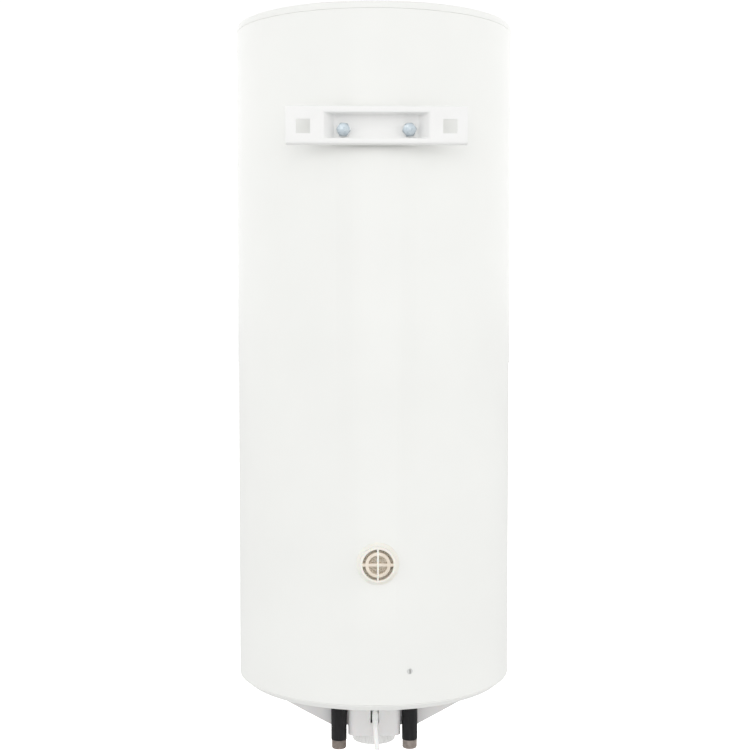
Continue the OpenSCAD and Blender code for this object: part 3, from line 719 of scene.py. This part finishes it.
def make_bolts():
    """Hexagon-head bolts on plain washers, each stopped at its own angle."""
    bolts = bmesh.new()
    washers = bmesh.new()
    for side, turn in BOLT_TURNS:
        centre = place(side * BOLT_X, 0, BOLT_UP)
        face = PAN_BACK + WASHER_T
        washer = rounded([
            (WASHER_IN_R, PAN_BACK, 0), (WASHER_R, PAN_BACK, 0.2), (WASHER_R, face, 0.5),
            (WASHER_IN_R, face, 0.3)], 3)
        spin(washers, washer, centre, "Y")
        spin(bolts, [(0, BOLT_END), (BOLT_R, BOLT_END), (BOLT_R, face), (0, face)], centre, "Y", 48)
        collar = rounded([
            (0, face, 0), (COLLAR_R, face, 0), (COLLAR_R, face + COLLAR_H, 0.2),
            (0, face + COLLAR_H, 0)], 2)
        spin(bolts, collar, centre, "Y", HEX_STEPS)
        hexagon(bolts, centre, face + 0.5, face + HEAD_H, turn)
    piece("bolt_heads", bolts, "heater", "zinc_steel", "bracket_bolts", angle=28)
    piece("plain_washers", washers, "heater", "zinc_steel", "bracket_washers", look="washer_pale")


make_bolts()

# ---------- foam port plug ----------

PORT_FRONT = 202.5
PORT_FLOOR = 176
PORT_WALL_IN = 20
PORT_RING_OUT = 16.5
PORT_RING_IN = 12.2
PORT_FLANGE_R = 28
PORT_RIB = 2.6
PORT_LEVEL_RIB = 4
FOAM_INSIDE = 193.5
FOAM_OUTSIDE = 192


def make_port_flange():
    """Thin flange that follows the casing's curve round the plug."""
    bm = bmesh.new()
    r = CASING_R / MM
    steps = 96
    profile = rounded([
        (PORT_R - 0.6, -2.5, 0), (PORT_FLANGE_R, -0.4, 0), (PORT_FLANGE_R, 0.5, 0.5),
        (PORT_R + 1.5, 2.2, 1.5), (PORT_R - 0.6, 3.4, 0)], 4)
    rings = []
    for a in circle(steps):
        ring = []
        for reach, lift in profile:
            x = PORT_X + reach * math.cos(a)
            surface = math.sqrt(r ** 2 - x ** 2)
            ring.append(bm.verts.new(place(x, surface + lift, PORT_UP + reach * math.sin(a))))
        rings.append(ring)
    stitch(bm, rings, closed=True)
    return bm


def make_port_plug():
    """Plug with an outer wall, an inner ring and a cross of ribs."""
    bm = make_port_flange()
    centre = place(PORT_X, 0, PORT_UP)
    wall = rounded([
        (PORT_R, PORT_FLOOR, 0), (PORT_R, PORT_FRONT, 1.6), (PORT_WALL_IN, PORT_FRONT, 1.6),
        (PORT_WALL_IN + 0.5, PORT_FLOOR, 0)], 5)
    ring = rounded([
        (PORT_RING_OUT, PORT_FLOOR, 0), (PORT_RING_OUT, PORT_FRONT - 0.6, 0.9),
        (PORT_RING_IN, PORT_FRONT - 0.6, 0.9), (PORT_RING_IN, PORT_FLOOR, 0)], 4)
    spin(bm, wall, centre, "Y")
    piece("port_plug", bm, "heater", "port_plastic", "foam_port_plug")
    turned("port_ring", ring, centre, "port_plastic", axis="Y", look="port_dusty")
    half = PORT_RIB / 2
    level = PORT_LEVEL_RIB / 2
    span = PORT_WALL_IN + 1
    for name, wide, tall, front, look in (
            ("port_rib_upright", half, span, 0.4, "port_plastic"),
            ("port_rib_level", span, level, 0.8, "port_dusty")):
        rib = bmesh.new()
        low = place(PORT_X - wide, PORT_FLOOR, PORT_UP - tall)
        high = place(PORT_X + wide, PORT_FRONT - front, PORT_UP + tall)
        box(rib, low, high)
        soften(piece(name, rib, "heater", "port_plastic", look=look), 0.6, 3)


def make_port_foam():
    """Rough surface of the foam that rose into the plug and was left untrimmed."""
    bm = bmesh.new()
    centre = place(PORT_X, 0, PORT_UP)
    rings = 30
    steps = 120
    rows = []
    for k in range(rings + 1):
        r = (PORT_WALL_IN + 0.3) * k / rings
        inside = r < PORT_RING_OUT - 1
        row = []
        for a in circle(steps):
            spot = Vector((r * math.cos(a), 0, r * math.sin(a)))
            lump = noise.fractal(spot * 0.22, 1.0, 2.0, 5) * 2.4 + noise.noise(spot * 1.3) * 0.5
            level = (FOAM_INSIDE if inside else FOAM_OUTSIDE) + lump
            row.append(bm.verts.new(centre + (spot + Vector((0, level, 0))) * MM))
        rows.append(row)
    stitch(bm, rows)
    piece("port_foam", bm, "heater", "foam", angle=80)


make_port_plug()
make_port_foam()

# ---------- casing screw and cover screws ----------

SCREW_X = -44
SCREW_UP = 54
SLOT_LEFT = -1.1
SLOT_RIGHT = 0.5
SLOT_HALF = 2.9
COVER_FLOOR = 65


def screw_head(bm, centre, direction, radius, height, seat):
    """Pan-head screw with a cross recess, its head standing up from seat along direction."""
    side = direction.orthogonal().normalized()
    other = direction.cross(side)
    steps = 48
    rows = []
    profile = rounded([
        (0.001, seat - 0.2, 0), (radius, seat - 0.2, 0), (radius, seat + height * 0.55, radius * 0.35),
        (radius * 0.45, seat + height, radius * 0.3), (0.001, seat + height, 0)], 4)
    for r, h in profile:
        ring = []
        for a in circle(steps):
            arm = min(abs(math.sin(a)), abs(math.cos(a)))
            in_cross = arm * r < 0.5 and r < radius * 0.62 and h > seat + height * 0.6
            sink = 0.75 if in_cross else 0.0
            spot = side * (r * math.cos(a)) + other * (r * math.sin(a)) + direction * (h - sink)
            ring.append(bm.verts.new(centre + spot * MM))
        rows.append(ring)
    stitch(bm, rows)


def make_screws():
    """Casing screw with an upright slot off its middle, its floor darkened by a sheet of painted shade, and
    the cover's two screws.
    """
    small = bmesh.new()
    lean = math.asin(SCREW_X / (CASING_R / MM))
    outward = Vector((math.sin(lean), math.cos(lean), 0))
    screw_head(small, place(0, 0, SCREW_UP), outward, 3.8, 1.6, CASING_R / MM)
    head = piece("casing_screw_head", small, "heater", "zinc_steel", "casing_screw", look="screw_pale")
    seat = CASING_R / MM * math.cos(lean)
    left, right = SCREW_X + SLOT_LEFT, SCREW_X + SLOT_RIGHT
    low, high = SCREW_UP - SLOT_HALF, SCREW_UP + SLOT_HALF
    recess = bmesh.new()
    box(recess, place(left, seat + 0.5, low), place(right, seat + 4, high))
    cut(head, [recess])
    # painted shade: a thin dark sheet on the slot's floor, standing in for the shade in the recess
    recess_shade = bmesh.new()
    box(recess_shade, place(left, seat + 0.3, low), place(right, seat + 0.6, high))
    piece("casing_screw_painted_shade", recess_shade, "heater", "zinc_steel", look="screw_grime")
    cover = bmesh.new()
    down = Vector((0, 0, -1))
    for side in (-1, 1):
        screw_head(cover, place(side * COVER_SCREW_X, COVER_SCREW_BACK, 0), down, 4, 2.2, COVER_FLOOR)
    piece("cover_screw_heads", cover, "heater", "zinc_steel", "cover_screws")


make_screws()

# ---------- water pipes ----------

PIPE_LOW = -93
PIPE_TOP = 66
THREAD_TOP = -80.8
THREAD_R = 10.48
THREAD_PITCH = 1.814
THREAD_DEPTH = 1.0
BORE_R = 7.8
SLEEVE_R = 11
SHAFT_R = 9.2
SLEEVE_LOW = -80.5
SLEEVE_TOP = 6


def make_pipe(name, side, node):
    """Pipe with a rolled half-inch thread, its end chamfered."""
    steps = 72
    per_turn = 12
    centre = place(side * PIPE_X, PIPE_BACK, 0)
    bm = bmesh.new()
    rows = []
    count = int((THREAD_TOP - PIPE_LOW) / THREAD_PITCH * per_turn)
    for k in range(count + 1):
        up = PIPE_LOW + (THREAD_TOP - PIPE_LOW) * k / count
        ring = []
        for i, a in enumerate(circle(steps)):
            phase = ((up - PIPE_LOW) / THREAD_PITCH - i / steps) % 1.0
            cutting = THREAD_DEPTH * (0.5 + 0.5 * math.cos(2 * math.pi * phase))
            chamfer = max(0.0, 1.2 - (up - PIPE_LOW))
            r = THREAD_R - max(cutting, chamfer)
            ring.append(bm.verts.new(centre + Vector((r * math.cos(a), r * math.sin(a), up)) * MM))
        rows.append(ring)
    inner = [(BORE_R + 0.6, PIPE_LOW), (BORE_R, PIPE_LOW + 0.8), (BORE_R, PIPE_TOP), (SHAFT_R, PIPE_TOP),
             (SHAFT_R, THREAD_TOP)]
    for r, up in inner:
        rows.append([bm.verts.new(centre + Vector((r * math.cos(a), r * math.sin(a), up)) * MM)
                     for a in circle(steps)])
    rows = rows[:count + 1][::-1] + rows[count + 1:]
    stitch(bm, rows, closed=True)
    piece(name, bm, "heater", "pipe_steel", node, angle=50)


def make_sleeves():
    """Soft black sleeves, cut by hand and a little out of true at their lower ends."""
    bm = bmesh.new()
    for side in (-1, 1):
        steps = 64
        centre = place(side * PIPE_X, PIPE_BACK, 0)
        profile = rounded([
            (SHAFT_R + 0.1, SLEEVE_LOW, 0.3), (SLEEVE_R, SLEEVE_LOW, 0.5), (SLEEVE_R, SLEEVE_TOP, 0.4),
            (SHAFT_R + 0.1, SLEEVE_TOP, 0)], 3)
        rings = []
        for a in circle(steps):
            ring = []
            for r, up in profile:
                wave = 0.25 * math.sin(a + side) if up < SLEEVE_LOW + 4.5 else 0.0
                swell = 0.12 * noise.noise(Vector((math.cos(a) * 1.5, math.sin(a) * 1.5, up * 0.05 + side)))
                reach = r + (swell if r > SHAFT_R + 1 else 0)
                spot = Vector((reach * math.cos(a), reach * math.sin(a), up + wave))
                ring.append(bm.verts.new(centre + spot * MM))
            rings.append(ring)
        stitch(bm, rings, closed=True)
    piece("sleeves", bm, "heater", "sleeve_black", "pipe_sleeves")


make_pipe("cold_pipe", 1, "cold_inlet_pipe")
make_pipe("hot_pipe", -1, "hot_outlet_pipe")
make_sleeves()

# ---------- bottom cover ----------

copy_of("bottom_cover", "heater", "cover_plastic", 1.4, 4, 40)

# ---------- control knob ----------

KNOB_R = 31
KNOB_LOW = -96
KNOB_TOP = -74
KNOB_EDGE = 3
KNOB_DISH_R = 24
FLUTES = 28
FLUTE_R = 2.4
FLUTE_CENTRE = KNOB_R + 1.6
FLUTE_TOP = -78
KNOB_STEPS = FLUTES * 20
MARK_W = 2.4
MARK_START = -26
MARK_END = -10


def flute_depth(turn):
    """How deep the flutes cut at an angle; the one that the mark points at is left out."""
    pitch = 2 * math.pi / FLUTES
    nearest = round((turn + math.pi / 2) / pitch)
    if nearest % FLUTES == 0:
        return 0.0
    off = FLUTE_CENTRE * math.sin(turn + math.pi / 2 - nearest * pitch)
    if abs(off) >= FLUTE_R:
        return 0.0
    return max(0.0, KNOB_R - FLUTE_CENTRE + math.sqrt(FLUTE_R ** 2 - off ** 2))


def knob_profile():
    """(radius, height) points of the knob, from the middle of its face to the middle of its back."""
    face = rounded([
        (0.001, KNOB_LOW + 0.8, 0), (KNOB_DISH_R, KNOB_LOW + 0.8, 2), (KNOB_DISH_R + 1.6, KNOB_LOW, 1.2),
        (KNOB_R, KNOB_LOW, KNOB_EDGE), (KNOB_R, FLUTE_TOP, 0)], 6)
    return face + [
        Vector((KNOB_R, FLUTE_TOP + 0.1)), Vector((KNOB_R, KNOB_TOP - 0.8)),
        Vector((KNOB_R - 0.8, KNOB_TOP)), Vector((0.001, KNOB_TOP))]


def make_knob():
    """Fluted knob with a red mark let into its face."""
    bm = bmesh.new()
    centre = place(0, 0, 0)
    rows = []
    for r, up in knob_profile():
        ring = []
        for turn in circle(KNOB_STEPS):
            fluted = up <= FLUTE_TOP and r > KNOB_R - FLUTE_R
            reach = min(r, KNOB_R - flute_depth(turn)) if fluted else r
            spot = Vector((reach * math.cos(turn), reach * math.sin(turn), up))
            ring.append(bm.verts.new(centre + spot * MM))
        rows.append(ring)
    stitch(bm, rows)
    knob = piece("knob_body", bm, "thermostat_knob", "knob_plastic", "control_knob", angle=42)
    groove = bmesh.new()
    half = MARK_W / 2
    box(groove, place(-half, MARK_START, KNOB_LOW - 1), place(half, MARK_END, KNOB_LOW + 1.1))
    cut(knob, [groove])
    line = bmesh.new()
    box(line, place(-half + 0.05, MARK_START + 0.05, KNOB_LOW + 0.3),
        place(half - 0.05, MARK_END - 0.05, KNOB_LOW + 1.3))
    mark = piece("knob_line", line, "thermostat_knob", "mark_red", "knob_mark")
    soften(mark, 0.25)


make_knob()

# ---------- lamp ----------

LAMP_AT = (40, -35, 0)


def make_lamp():
    """Lens of the heating lamp: a low dome with fine rings inside its edge."""
    dome = [(0.001, -61), (5, -61), (5, -65.2), (4.7, -65.6), (4.45, -65.5), (4.2, -65.95), (3.9, -65.85)]
    dome += [(3.6 * math.cos(t), -66 - 1.6 * math.sin(t)) for t in (0.2, 0.5, 0.8, 1.1, 1.35)]
    dome.append((0.001, -67.6))
    turned("lamp_dome", dome, place(*LAMP_AT), "lens_red", "lamp_lens", steps=64)


make_lamp()

# ---------- strain relief, tie and plug ----------

RELIEF_IN = 26
RELIEF_H = 34


def relief_section():
    """Tapered wall with grooves that let the outer end flex."""
    outer = []
    for k in range(RELIEF_H * 4 + 1):
        along = k / 4
        r = 5.6 - 1.5 * along / RELIEF_H
        grooved = along > RELIEF_IN - 3 and (along % 2.4) > 1.5
        outer.append((r - (0.75 if grooved else 0.0), along))
    return [(LEAD_R - 0.05, 0)] + outer + [(LEAD_R - 0.05, RELIEF_H)]


def make_relief():
    bm = bmesh.new()
    spin(bm, relief_section(), Vector((0, 0, -RELIEF_IN * MM)), steps=48)
    turn = Vector((0, 1, -1)).to_track_quat("Z", "Y").to_matrix().to_4x4()
    bmesh.ops.transform(bm, matrix=turn, verts=bm.verts)
    bmesh.ops.translate(bm, vec=place(*LEAD_ROUTE[0]), verts=bm.verts)
    piece("relief_boot", bm, "heater", "lead_white", "cable_relief", angle=50)


TIE_AT = (0.5, 36, -128)
TIE_INNER = (22.5, 4.3)
TIE_CORNER = 4
TIE_T = 1.3
TIE_HALF = 5
TIE_OVERLAP = 22


def tie_line():
    """Points round the tied turns, one lap and a little more, each with its way out and its lift."""
    a, b = TIE_INNER
    loop = rounded([(-a, -b, TIE_CORNER), (a, -b, TIE_CORNER), (a, b, TIE_CORNER), (-a, b, TIE_CORNER)], 8)
    lap = []
    for i, here in enumerate(loop):
        ahead = loop[(i + 1) % len(loop)]
        steps = max(1, int((ahead - here).length / 1.5))
        lap += [here.lerp(ahead, k / steps) for k in range(steps)]
    points = lap + lap[:TIE_OVERLAP]
    line = []
    for i, here in enumerate(points):
        along = lap[(i + 1) % len(lap)] - lap[(i - 1) % len(lap)]
        out = Vector((along.y, -along.x)).normalized()
        share = min(1.0, max(0.0, (i - len(lap) + 8) / 8))
        line.append((here, out, (TIE_T + 0.1) * share))
    return line


def make_tie():
    """Strap wound round the coil and closed on itself."""
    bm = bmesh.new()
    centre = place(*TIE_AT)
    rings = []
    for here, out, lift in tie_line():
        ring = []
        for depth, side in ((0, -1), (0, 1), (TIE_T, 1), (TIE_T, -1)):
            spot = here + out * (lift + depth)
            ring.append(bm.verts.new(centre + Vector((spot.x, side * TIE_HALF, spot.y)) * MM))
        rings.append(ring)
    prism(bm, rings)
    soften(piece("tie_strap", bm, "heater", "tie_grey", "coil_tie", angle=40), 0.3, 2, 50)


PLUG_AT = (10, 76, -228)
PLUG_FACE = -50
PIN_PITCH = 19
PIN_R = 2.4
PIN_ROOT = -49
PIN_TIP = -69.4
EARTH_HOLE_X = 8
EARTH_HOLE_R = 2.9


def plug_section():
    """Half section of the plug, from the lead's end of its neck to its face."""
    neck = [(LEAD_R + 0.1, 4), (4.6, 4), (5.1, 3.5)]
    for k in range(6):
        up = 2.2 - k * 2.6
        r = 5.5 + 0.42 * k
        neck += [(r, up), (r, up - 1.2), (r - 0.9, up - 1.5), (r - 0.8, up - 2.3)]
    body = rounded([
        (8, -14, 1), (11.5, -22, 6), (17.6, -29, 4), (18.3, -34, 3), (18.3, -48.8, 1.2),
        (17.1, PLUG_FACE, 1.2), (LEAD_R + 0.1, PLUG_FACE, 0)], 6)
    return neck + [tuple(p) for p in body]


def plug_box(bm, side, near, far, half, low, high):
    """A box at one side of the plug, from near to far off its middle, between two heights."""
    x, back, up = PLUG_AT
    left, right = sorted((x + side * near, x + side * far))
    box(bm, place(left, back - half, up + low), place(right, back + half, up + high))


def make_plug():
    """Moulded two-pole plug with grip rings, earth clips at its sides and round pins."""
    x, back, up = PLUG_AT
    bm = bmesh.new()
    spin(bm, [(0.001, 3)] + plug_section()[1:-1] + [(0.001, PLUG_FACE)], place(*PLUG_AT), steps=120)
    body = piece("plug_body", bm, "heater", "plug_white", "mains_plug", angle=40)
    slots = [bmesh.new(), bmesh.new()]
    for slot, side in zip(slots, (-1, 1)):
        plug_box(slot, side, 15.2, 20, 3.4, PLUG_FACE - 1, -33)
    cut(body, slots + [rod(place(x + EARTH_HOLE_X, back, up), EARTH_HOLE_R, PLUG_FACE - 1, -34)])
    soften(body, 0.35, 2, 45)
    metal_parts = bmesh.new()
    pin = rounded([
        (0.001, PIN_ROOT, 0), (PIN_R, PIN_ROOT, 0), (PIN_R, PIN_TIP, 2.2), (0.001, PIN_TIP, 0)], 8)
    for side in (-1, 1):
        spin(metal_parts, pin, place(x, back + side * PIN_PITCH / 2, up), steps=48)
        plug_box(metal_parts, side, 15.3, 16.1, 2.4, -49.8, -33.2)
        plug_box(metal_parts, side, 16.0, 17.6, 2.4, -44, -40)
    soften(piece("plug_metal", metal_parts, "heater", "pin_nickel", "plug_pins"), 0.3, 2, 60)


make_relief()
make_tie()
make_plug()

# ---------- thermometer ----------

GAUGE_FACE = -187
GAUGE_IN_R = 25.5
DIAL_BACK = -186
PRINT_T = 0.12
TICK_STEP = 10
TICK_END = 20.4
BAND = (21, 22.6)
NEEDLE_COLD = -100
NEEDLE_HOT = 100
HUB_END = -190
GAUGE_STEPS = 128
RIM_OUT_R = 31
RIM_FRONT = -197


def dial_point(angle, reach, depth):
    """A point of the dial at an angle from its top, clockwise as seen from the room."""
    turn = math.radians(angle)
    return place(reach * math.sin(turn), depth, GAUGE_UP + reach * math.cos(turn))


def dial_band(bm, start, end, inner, outer):
    """A printed band between two angles and two radii, a little proud of the dial."""
    count = max(1, int(abs(end - start) / 4))
    rows = []
    for k in range(count + 1):
        angle = start + (end - start) * k / count
        rows.append([bm.verts.new(dial_point(angle, reach, depth))
                     for reach, depth in ((inner, GAUGE_FACE), (inner, GAUGE_FACE - PRINT_T),
                                          (outer, GAUGE_FACE - PRINT_T), (outer, GAUGE_FACE))])
    prism(bm, rows)


def make_dial():
    disc = rounded([
        (0.001, DIAL_BACK, 0), (GAUGE_IN_R, DIAL_BACK, 0), (GAUGE_IN_R, GAUGE_FACE, 0.2),
        (0.001, GAUGE_FACE, 0)], 2)
    turned("dial_disc", disc, place(0, 0, GAUGE_UP), "dial_white", "gauge_dial", axis="Y")
    ticks = bmesh.new()
    for k, angle in enumerate(range(NEEDLE_COLD, NEEDLE_HOT + 1, TICK_STEP)):
        half, start = (1.1, 17.2) if k % 5 == 0 else (0.6, 18.6)
        dial_band(ticks, angle - half, angle + half, start, TICK_END)
    piece("dial_ticks", ticks, "heater", "gauge_black")
    for name, start, end, slot in (("dial_cold_band", NEEDLE_COLD, -10, "wire_blue"),
                                   ("dial_hot_band", 10, NEEDLE_HOT, "pointer_red")):
        band = bmesh.new()
        dial_band(band, start, end, *BAND)
        piece(name, band, "heater", slot)


def make_needle():
    bm = bmesh.new()
    centre = place(0, 0, GAUGE_UP)
    hub = rounded([
        (0.001, -183, 0), (0.94, -183, 0), (0.94, -188, 0), (3, -188, 0.2), (3, HUB_END, 0.8),
        (0.001, HUB_END, 0)], 4)
    spin(bm, hub, centre, "Y", 48)
    outline = [(-1, -7), (1, -7), (1.4, 0), (0.4, 18.6), (0, 19), (-0.4, 18.6), (-1.4, 0)]
    turn = math.radians(NEEDLE_COLD)
    rings = []
    for depth in (-188.2, -189):
        rings.append([bm.verts.new(centre + Vector((
            a * math.cos(turn) + b * math.sin(turn), depth, b * math.cos(turn) - a * math.sin(turn))) * MM)
            for a, b in outline])
    prism(bm, rings)
    soften(piece("gauge_needle", bm, "needle", "pointer_red", "gauge_pointer"), 0.12, 2, 50)


def make_gauge():
    around = {"axis": "Y", "steps": GAUGE_STEPS}
    centre = place(0, 0, GAUGE_UP)
    cup = rounded([
        (0.001, -178, 0), (GAUGE_R, -178, 0.8), (GAUGE_R, -193.2, 0), (RIM_OUT_R, -193.2, 0.3),
        (RIM_OUT_R, RIM_FRONT, 0.2), (GAUGE_IN_R, RIM_FRONT, 0), (GAUGE_IN_R, -180, 0.4),
        (0.001, -180, 0)], 3)
    turned("gauge_cup", cup, centre, "gauge_black", "gauge_housing", **around)
    ring = rounded([
        (RIM_OUT_R, RIM_FRONT, 0), (RIM_OUT_R, -199.5, 1.2), (28, -199.5, 1.5), (24.2, -198.2, 0.6),
        (23.5, -197.4, 0.3), (23.5, RIM_FRONT, 0)], 5)
    turned("gauge_ring", ring, centre, "bezel_chrome", "gauge_bezel", **around)
    pane = [(0.001, -195.3), (GAUGE_IN_R - 0.1, -195.3), (GAUGE_IN_R - 0.1, -196.4), (18, -196.8),
            (9, -196.95), (0.001, RIM_FRONT)]
    turned("gauge_pane", pane, centre, "gauge_glass", "gauge_glass", **around)
    make_dial()
    make_needle()


make_gauge()

# ---------- floor and light, in metres and degrees ----------

FLOOR_Z = BASE_Z - 4.0
FLOOR_SIZE = 400
FLOOR_TONE = 0.8
FLOOR_GLOW = 1.0
SEEN_WHITE = 1.05
SKY = [(0.0, 0.8), (0.48, 0.8), (0.51, 1.5), (0.68, 1.5), (0.8, 0.9), (1.0, 0.7)]
SKY_STRENGTH = 0.968
# each sun's direction, power and spread
SUNS = {"front": ((-0.1, -1, -0.28), 0.14, 20), "side": ((1, -0.35, -0.3), 0.05, 40)}


def make_floor():
    """Pale floor far below the heater, glowing white where the camera sees it."""
    bm = bmesh.new()
    half = FLOOR_SIZE / 2
    corners = ((-half, -half), (half, -half), (half, half), (-half, half))
    bm.faces.new([bm.verts.new((x, y, FLOOR_Z)) for x, y in corners])
    mesh = bpy.data.meshes.new("studio_floor")
    bm.to_mesh(mesh)
    bm.free()
    material = bpy.data.materials.new("floor_white")
    material.use_nodes = True
    nodes = material.node_tree.nodes
    tone = (FLOOR_TONE, FLOOR_TONE, FLOOR_TONE, 1)
    shader = fill(nodes["Principled BSDF"], Base_Color=tone, Roughness=0.9, Emission_Color=(1, 1, 1, 1))
    path = nodes.new("ShaderNodeLightPath")
    glow = nodes.new("ShaderNodeMath")
    glow.operation = "MULTIPLY"
    glow.inputs[1].default_value = FLOOR_GLOW
    links = material.node_tree.links
    links.new(path.outputs["Is Camera Ray"], glow.inputs[0])
    links.new(glow.outputs["Value"], shader.inputs["Emission Strength"])
    mesh.materials.append(material)
    floor = bpy.data.objects.new("studio_floor", mesh)
    bpy.context.scene.collection.objects.link(floor)


def sky_tone(nodes, links):
    """Brightness of the surround by height: strongest in a belt above the horizon."""
    where = nodes.new("ShaderNodeTexCoord")
    parts = nodes.new("ShaderNodeSeparateXYZ")
    height = fill(nodes.new("ShaderNodeMapRange"), From_Min=-1, From_Max=1)
    ramp = nodes.new("ShaderNodeValToRGB")
    top = max(tone for _, tone in SKY)
    fill_ramp(ramp, [(position, (tone / top,) * 3) for position, tone in SKY])
    links.new(where.outputs["Generated"], parts.inputs["Vector"])
    links.new(parts.outputs["Z"], height.inputs["Value"])
    links.new(height.outputs["Result"], ramp.inputs["Fac"])
    return ramp.outputs["Color"], top


def make_world():
    """White surround: plain where it is seen directly, shaped by height as a light."""
    world = bpy.data.worlds.new("studio")
    bpy.context.scene.world = world
    world.use_nodes = True
    nodes = world.node_tree.nodes
    links = world.node_tree.links
    background = nodes["Background"]
    tone, top = sky_tone(nodes, links)
    links.new(tone, background.inputs["Color"])
    background.inputs["Strength"].default_value = top * SKY_STRENGTH
    seen = fill(nodes.new("ShaderNodeBackground"), Color=(1, 1, 1, 1), Strength=SEEN_WHITE)
    mix = nodes.new("ShaderNodeMixShader")
    path = nodes.new("ShaderNodeLightPath")
    links.new(path.outputs["Is Camera Ray"], mix.inputs["Fac"])
    links.new(background.outputs["Background"], mix.inputs[1])
    links.new(seen.outputs["Background"], mix.inputs[2])
    links.new(mix.outputs["Shader"], nodes["World Output"].inputs["Surface"])


def sun(name, direction, power, spread):
    """Light from a large soft box far away, shining along direction, spread in degrees."""
    data = bpy.data.lights.new(name, "SUN")
    data.energy = power
    data.angle = math.radians(spread)
    light = bpy.data.objects.new(name, data)
    bpy.context.scene.collection.objects.link(light)
    light.rotation_euler = Vector(direction).to_track_quat("-Z", "Y").to_euler()


make_floor()
make_world()
for sun_name, rays in SUNS.items():
    sun(sun_name, *rays)
bpy.context.scene.view_settings.view_transform = "Standard"
bpy.context.scene.view_settings.look = "None"
